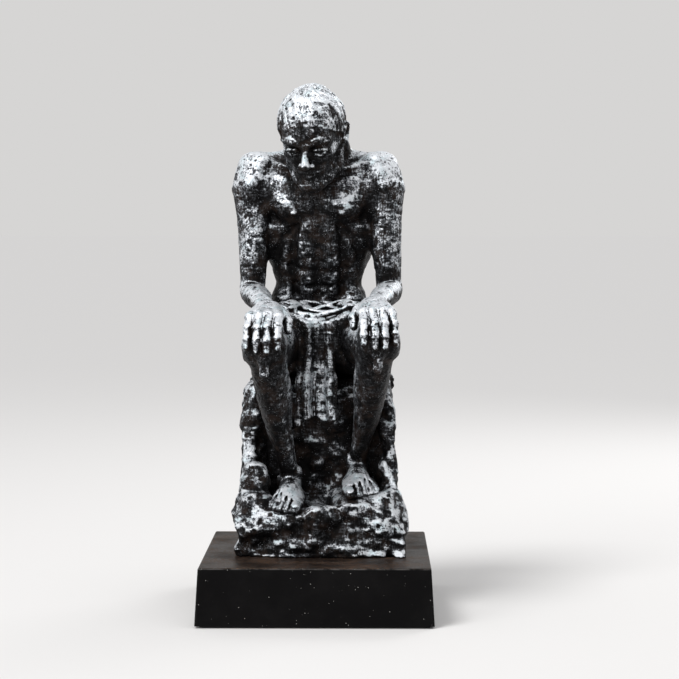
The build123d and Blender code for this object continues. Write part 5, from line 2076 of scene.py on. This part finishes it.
@dataclass
class BoardScrews:
    """The small screws that hold the base board, laid out and cut by a node tree. Sizes in mm."""

    head_radius: float = 3.0
    head_height: float = 1.6
    shank_radius: float = 1.35
    point_share: float = 0.35
    slot_length_share: float = 1.5
    slot_width_share: float = 0.26
    sides: int = 20
    material: str = "zinc_steel"

    def centres(self) -> tuple[list[tuple[float, float]], float, float]:
        """Where the frame's own screws stand, and their lowest and highest point, in mm.

        Returns:
            The places, and the two heights.
        """
        node = next(o for o in bpy.data.objects if o.name == "board_screws")
        points = np.empty(len(node.data.vertices) * 3)
        node.data.vertices.foreach_get("co", points)
        points = points.reshape(-1, 3) / MM
        corners: list[tuple[float, float]] = []
        for sx in (-1, 1):
            for sy in (-1, 1):
                near = points[(points[:, 0] * sx > 0) & (points[:, 1] * sy > 0)]
                corners.append(tuple((near[:, :2].min(0) + near[:, :2].max(0)) / 2))
        return corners, float(points[:, 2].min()), float(points[:, 2].max())

    def tree(self, paintbox: Paintbox) -> bpy.types.NodeTree:
        """The node tree: a grid of four places, with a headed and pointed screw on each.

        Args:
            paintbox: the materials.

        Returns:
            The tree.
        """
        sizes = ("Across", "Along", "Foot", "Length", "Head radius", "Head height", "Shank radius")
        gives = {"Geometry": Socket.GEOMETRY}
        w, given, out = start_group("corner_screws", "GeometryNodeTree", sizes, gives)
        grid = {"Size X": given["Across"], "Size Y": given["Along"], "Vertices X": 2, "Vertices Y": 2}
        places = w.add("GeometryNodeMeshGrid", grid)
        radius, shank_radius, height = given["Head radius"], given["Shank radius"], given["Head height"]
        head = self._cone(w, radius, shank_radius, height)
        shank = self._cone(w, shank_radius, w.math("MULTIPLY", shank_radius, self.point_share),
                           given["Length"])
        size = w.add("ShaderNodeCombineXYZ", {
            "X": w.math("MULTIPLY", radius, self.slot_length_share),
            "Y": w.math("MULTIPLY", radius, self.slot_width_share),
            "Z": height,
        })
        slot = w.add("GeometryNodeMeshCube", {"Size": size.outputs[0]})
        both = w.add("GeometryNodeMeshBoolean", operation="UNION")
        w.feed(both.inputs[1], head)
        w.feed(both.inputs[1], shank)
        halves = {0: both.outputs[0], 1: slot.outputs["Mesh"]}
        cut = w.add("GeometryNodeMeshBoolean", halves, operation="DIFFERENCE")
        stand = {"Points": places.outputs["Mesh"], "Instance": cut.outputs[0]}
        spread = w.add("GeometryNodeInstanceOnPoints", stand)
        lift = w.add("ShaderNodeCombineXYZ", {"Z": given["Foot"]})
        raised = {"Geometry": spread.outputs[0], "Translation": lift.outputs[0]}
        placed = w.add("GeometryNodeTransform", raised)
        real = w.add("GeometryNodeRealizeInstances", {0: placed.outputs[0]})
        paint = {"Geometry": real.outputs[0], "Material": paintbox.materials[self.material]}
        painted = w.add("GeometryNodeSetMaterial", paint)
        w.feed(out["Geometry"], painted.outputs[0])
        return w.tree

    def _cone(self, w: Weaver, low: object, high: object, height: object) -> Wire:
        """A turned piece of the screw, from its radius at the foot to its radius at the top."""
        turned = {"Vertices": self.sides, "Radius Bottom": low, "Radius Top": high, "Depth": height}
        return w.add("GeometryNodeMeshCone", turned, fill_type="NGON").outputs["Mesh"]

    def build(self, paintbox: Paintbox) -> bpy.types.Object:
        """The four screws as one plain mesh.

        Args:
            paintbox: the materials.

        Returns:
            The piece.
        """
        corners, low, high = self.centres()
        across = corners[-1][0] - corners[0][0]
        along = corners[-1][1] - corners[0][1]
        sizes = {
            "Across": across * MM, "Along": along * MM, "Foot": low * MM, "Length": (high - low) * MM,
            "Head radius": self.head_radius * MM, "Head height": self.head_height * MM,
            "Shank radius": self.shank_radius * MM,
        }
        carrier = put_in_scene("screw_carrier", bpy.data.meshes.new("screw_carrier"))
        modifier = carrier.modifiers.new("screws", "NODES")
        modifier.node_group = self.tree(paintbox)
        for item in modifier.node_group.interface.items_tree:
            if item.in_out == "INPUT":
                modifier[item.identifier] = sizes[item.name]
        evaluated = carrier.evaluated_get(bpy.context.evaluated_depsgraph_get())
        mesh = bpy.data.meshes.new_from_object(evaluated)
        mesh.name = "corner_screws"
        bpy.data.objects.remove(carrier)
        return put_in_scene("corner_screws", mesh)


@dataclass
class Studio:
    """A pale floor, soft lamps, and the camera at the photograph's place. Sizes in metres.

    Each lamp has its name, its place, its side and its power in watts.
    """

    floor_half: float = 30.0
    camera_place: Point = (0.023, -1.0665, 0.1816)
    lens: float = 119.7
    pitch_down: float = 2.95
    turn_left: float = 0.67
    floor_colour: Point = (0.8, 0.79, 0.78)
    sky: Point = (0.8, 0.8, 0.81)
    sky_strength: float = 0.54
    shown: Point = (0.672, 0.665, 0.658)
    sun_strength: float = 1.6
    sun_angle: float = 22.0
    sun_place: Point = (-0.55, -0.6, 1.05)
    lamps: tuple[tuple[str, Point, float, float], ...] = (
        ("top", (0.05, -0.1, 0.95), 0.45, 1.5),
        ("rim", (0.55, 0.7, 0.6), 0.4, 2.0),
        ("front", (-0.75, -0.95, 0.36), 0.6, 5.6),
    )
    lamp_aim: Point = (0, 0, 0.13)

    def build(self) -> None:
        """Sets the whole studio."""
        bpy.context.scene.view_settings.view_transform = "Standard"
        self._floor()
        self._sky()
        self._sun()
        for name, place, size, power in self.lamps:
            self._lamp(name, place, size, power)
        self._camera()

    def _sun(self) -> None:
        """The key: a broad soft light from the upper left."""
        light = bpy.data.lights.new("key", "SUN")
        light.energy = self.sun_strength
        light.angle = radians(self.sun_angle)
        lamp = put_in_scene("key", light)
        lamp.location = self.sun_place
        lamp.rotation_euler = (-Vector(self.sun_place)).to_track_quat("-Z", "Y").to_euler()

    def _floor(self) -> None:
        """A matt pale floor."""
        h = self.floor_half
        mesh = bpy.data.meshes.new("floor")
        mesh.from_pydata([(-h, -h, 0), (h, -h, 0), (h, h, 0), (-h, h, 0)], [], [(0, 1, 2, 3)])
        floor = put_in_scene("floor", mesh)
        material = bpy.data.materials.new("floor_paper")
        material.use_nodes = True
        w = Weaver(material.node_tree)
        paper = {"Base Color": (*self.floor_colour, 1), "Roughness": 0.9, "Specular IOR Level": 0.0}
        shader = w.add("ShaderNodeBsdfPrincipled", paper)
        w.add("ShaderNodeOutputMaterial", {"Surface": shader.outputs[0]})
        mesh.materials.append(material)

    def _sky(self) -> None:
        """An even pale world."""
        world = bpy.data.worlds.new("studio")
        bpy.context.scene.world = world
        world.use_nodes = True
        w = Weaver(world.node_tree)
        light = w.add("ShaderNodeBackground", {"Color": (*self.sky, 1), "Strength": self.sky_strength})
        shown = w.add("ShaderNodeBackground", {"Color": (*self.shown, 1), "Strength": 1.0})
        path = w.add("ShaderNodeLightPath").outputs
        seen = w.math("MAXIMUM", path["Is Camera Ray"], path["Is Transmission Ray"])
        seen = w.math("MAXIMUM", seen, path["Is Glossy Ray"])
        mixed = w.add("ShaderNodeMixShader", {0: seen, 1: light.outputs[0], 2: shown.outputs[0]})
        w.add("ShaderNodeOutputWorld", {"Surface": mixed.outputs[0]})

    def _lamp(self, name: str, place: Point, size: float, power: float) -> None:
        """A soft square lamp that faces the figure.

        Args:
            name: the lamp's name.
            place: where it hangs.
            size: its side.
            power: its power in watts.
        """
        light = bpy.data.lights.new(name, "AREA")
        light.size = size
        light.energy = power
        lamp = put_in_scene(name, light)
        lamp.location = place
        way = Vector(self.lamp_aim) - Vector(place)
        lamp.rotation_euler = way.to_track_quat("-Z", "Y").to_euler()

    def _camera(self) -> None:
        """The camera, level with the figure's chest."""
        camera = put_in_scene("camera", bpy.data.cameras.new("camera"))
        camera.data.lens = self.lens
        camera.data.clip_start = 0.05
        camera.data.clip_end = 40
        camera.location = self.camera_place
        camera.rotation_euler = (radians(90 - self.pitch_down), 0, radians(self.turn_left))
        bpy.context.scene.camera = camera


def main() -> None:
    """Builds the ornament's visible pieces, dresses the rest and sets the studio."""
    logging.basicConfig(level=logging.INFO, format="%(message)s")
    record = frame["record"]
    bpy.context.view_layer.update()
    paintbox = Paintbox()
    slots = {part["node"]: part["material_slot"] for part in record["subparts"]}
    for name, node in frame["nodes"].items():
        paintbox.paint(node, slots[name])
    screws = BoardScrews()
    piece = screws.build(paintbox)
    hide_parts("board_screws")
    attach(piece, BODY)
    log.info("%s: %d faces", piece.name, len(piece.data.polygons))
    for piece, casting in CastFigure().build():
        paintbox.paint(piece, casting.slot)
        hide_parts(casting.name)
        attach(piece, BODY)
        log.info("%s: %d faces", piece.name, len(piece.data.polygons))
    Studio().build()
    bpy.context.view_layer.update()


if __name__ == "__main__":
    main()
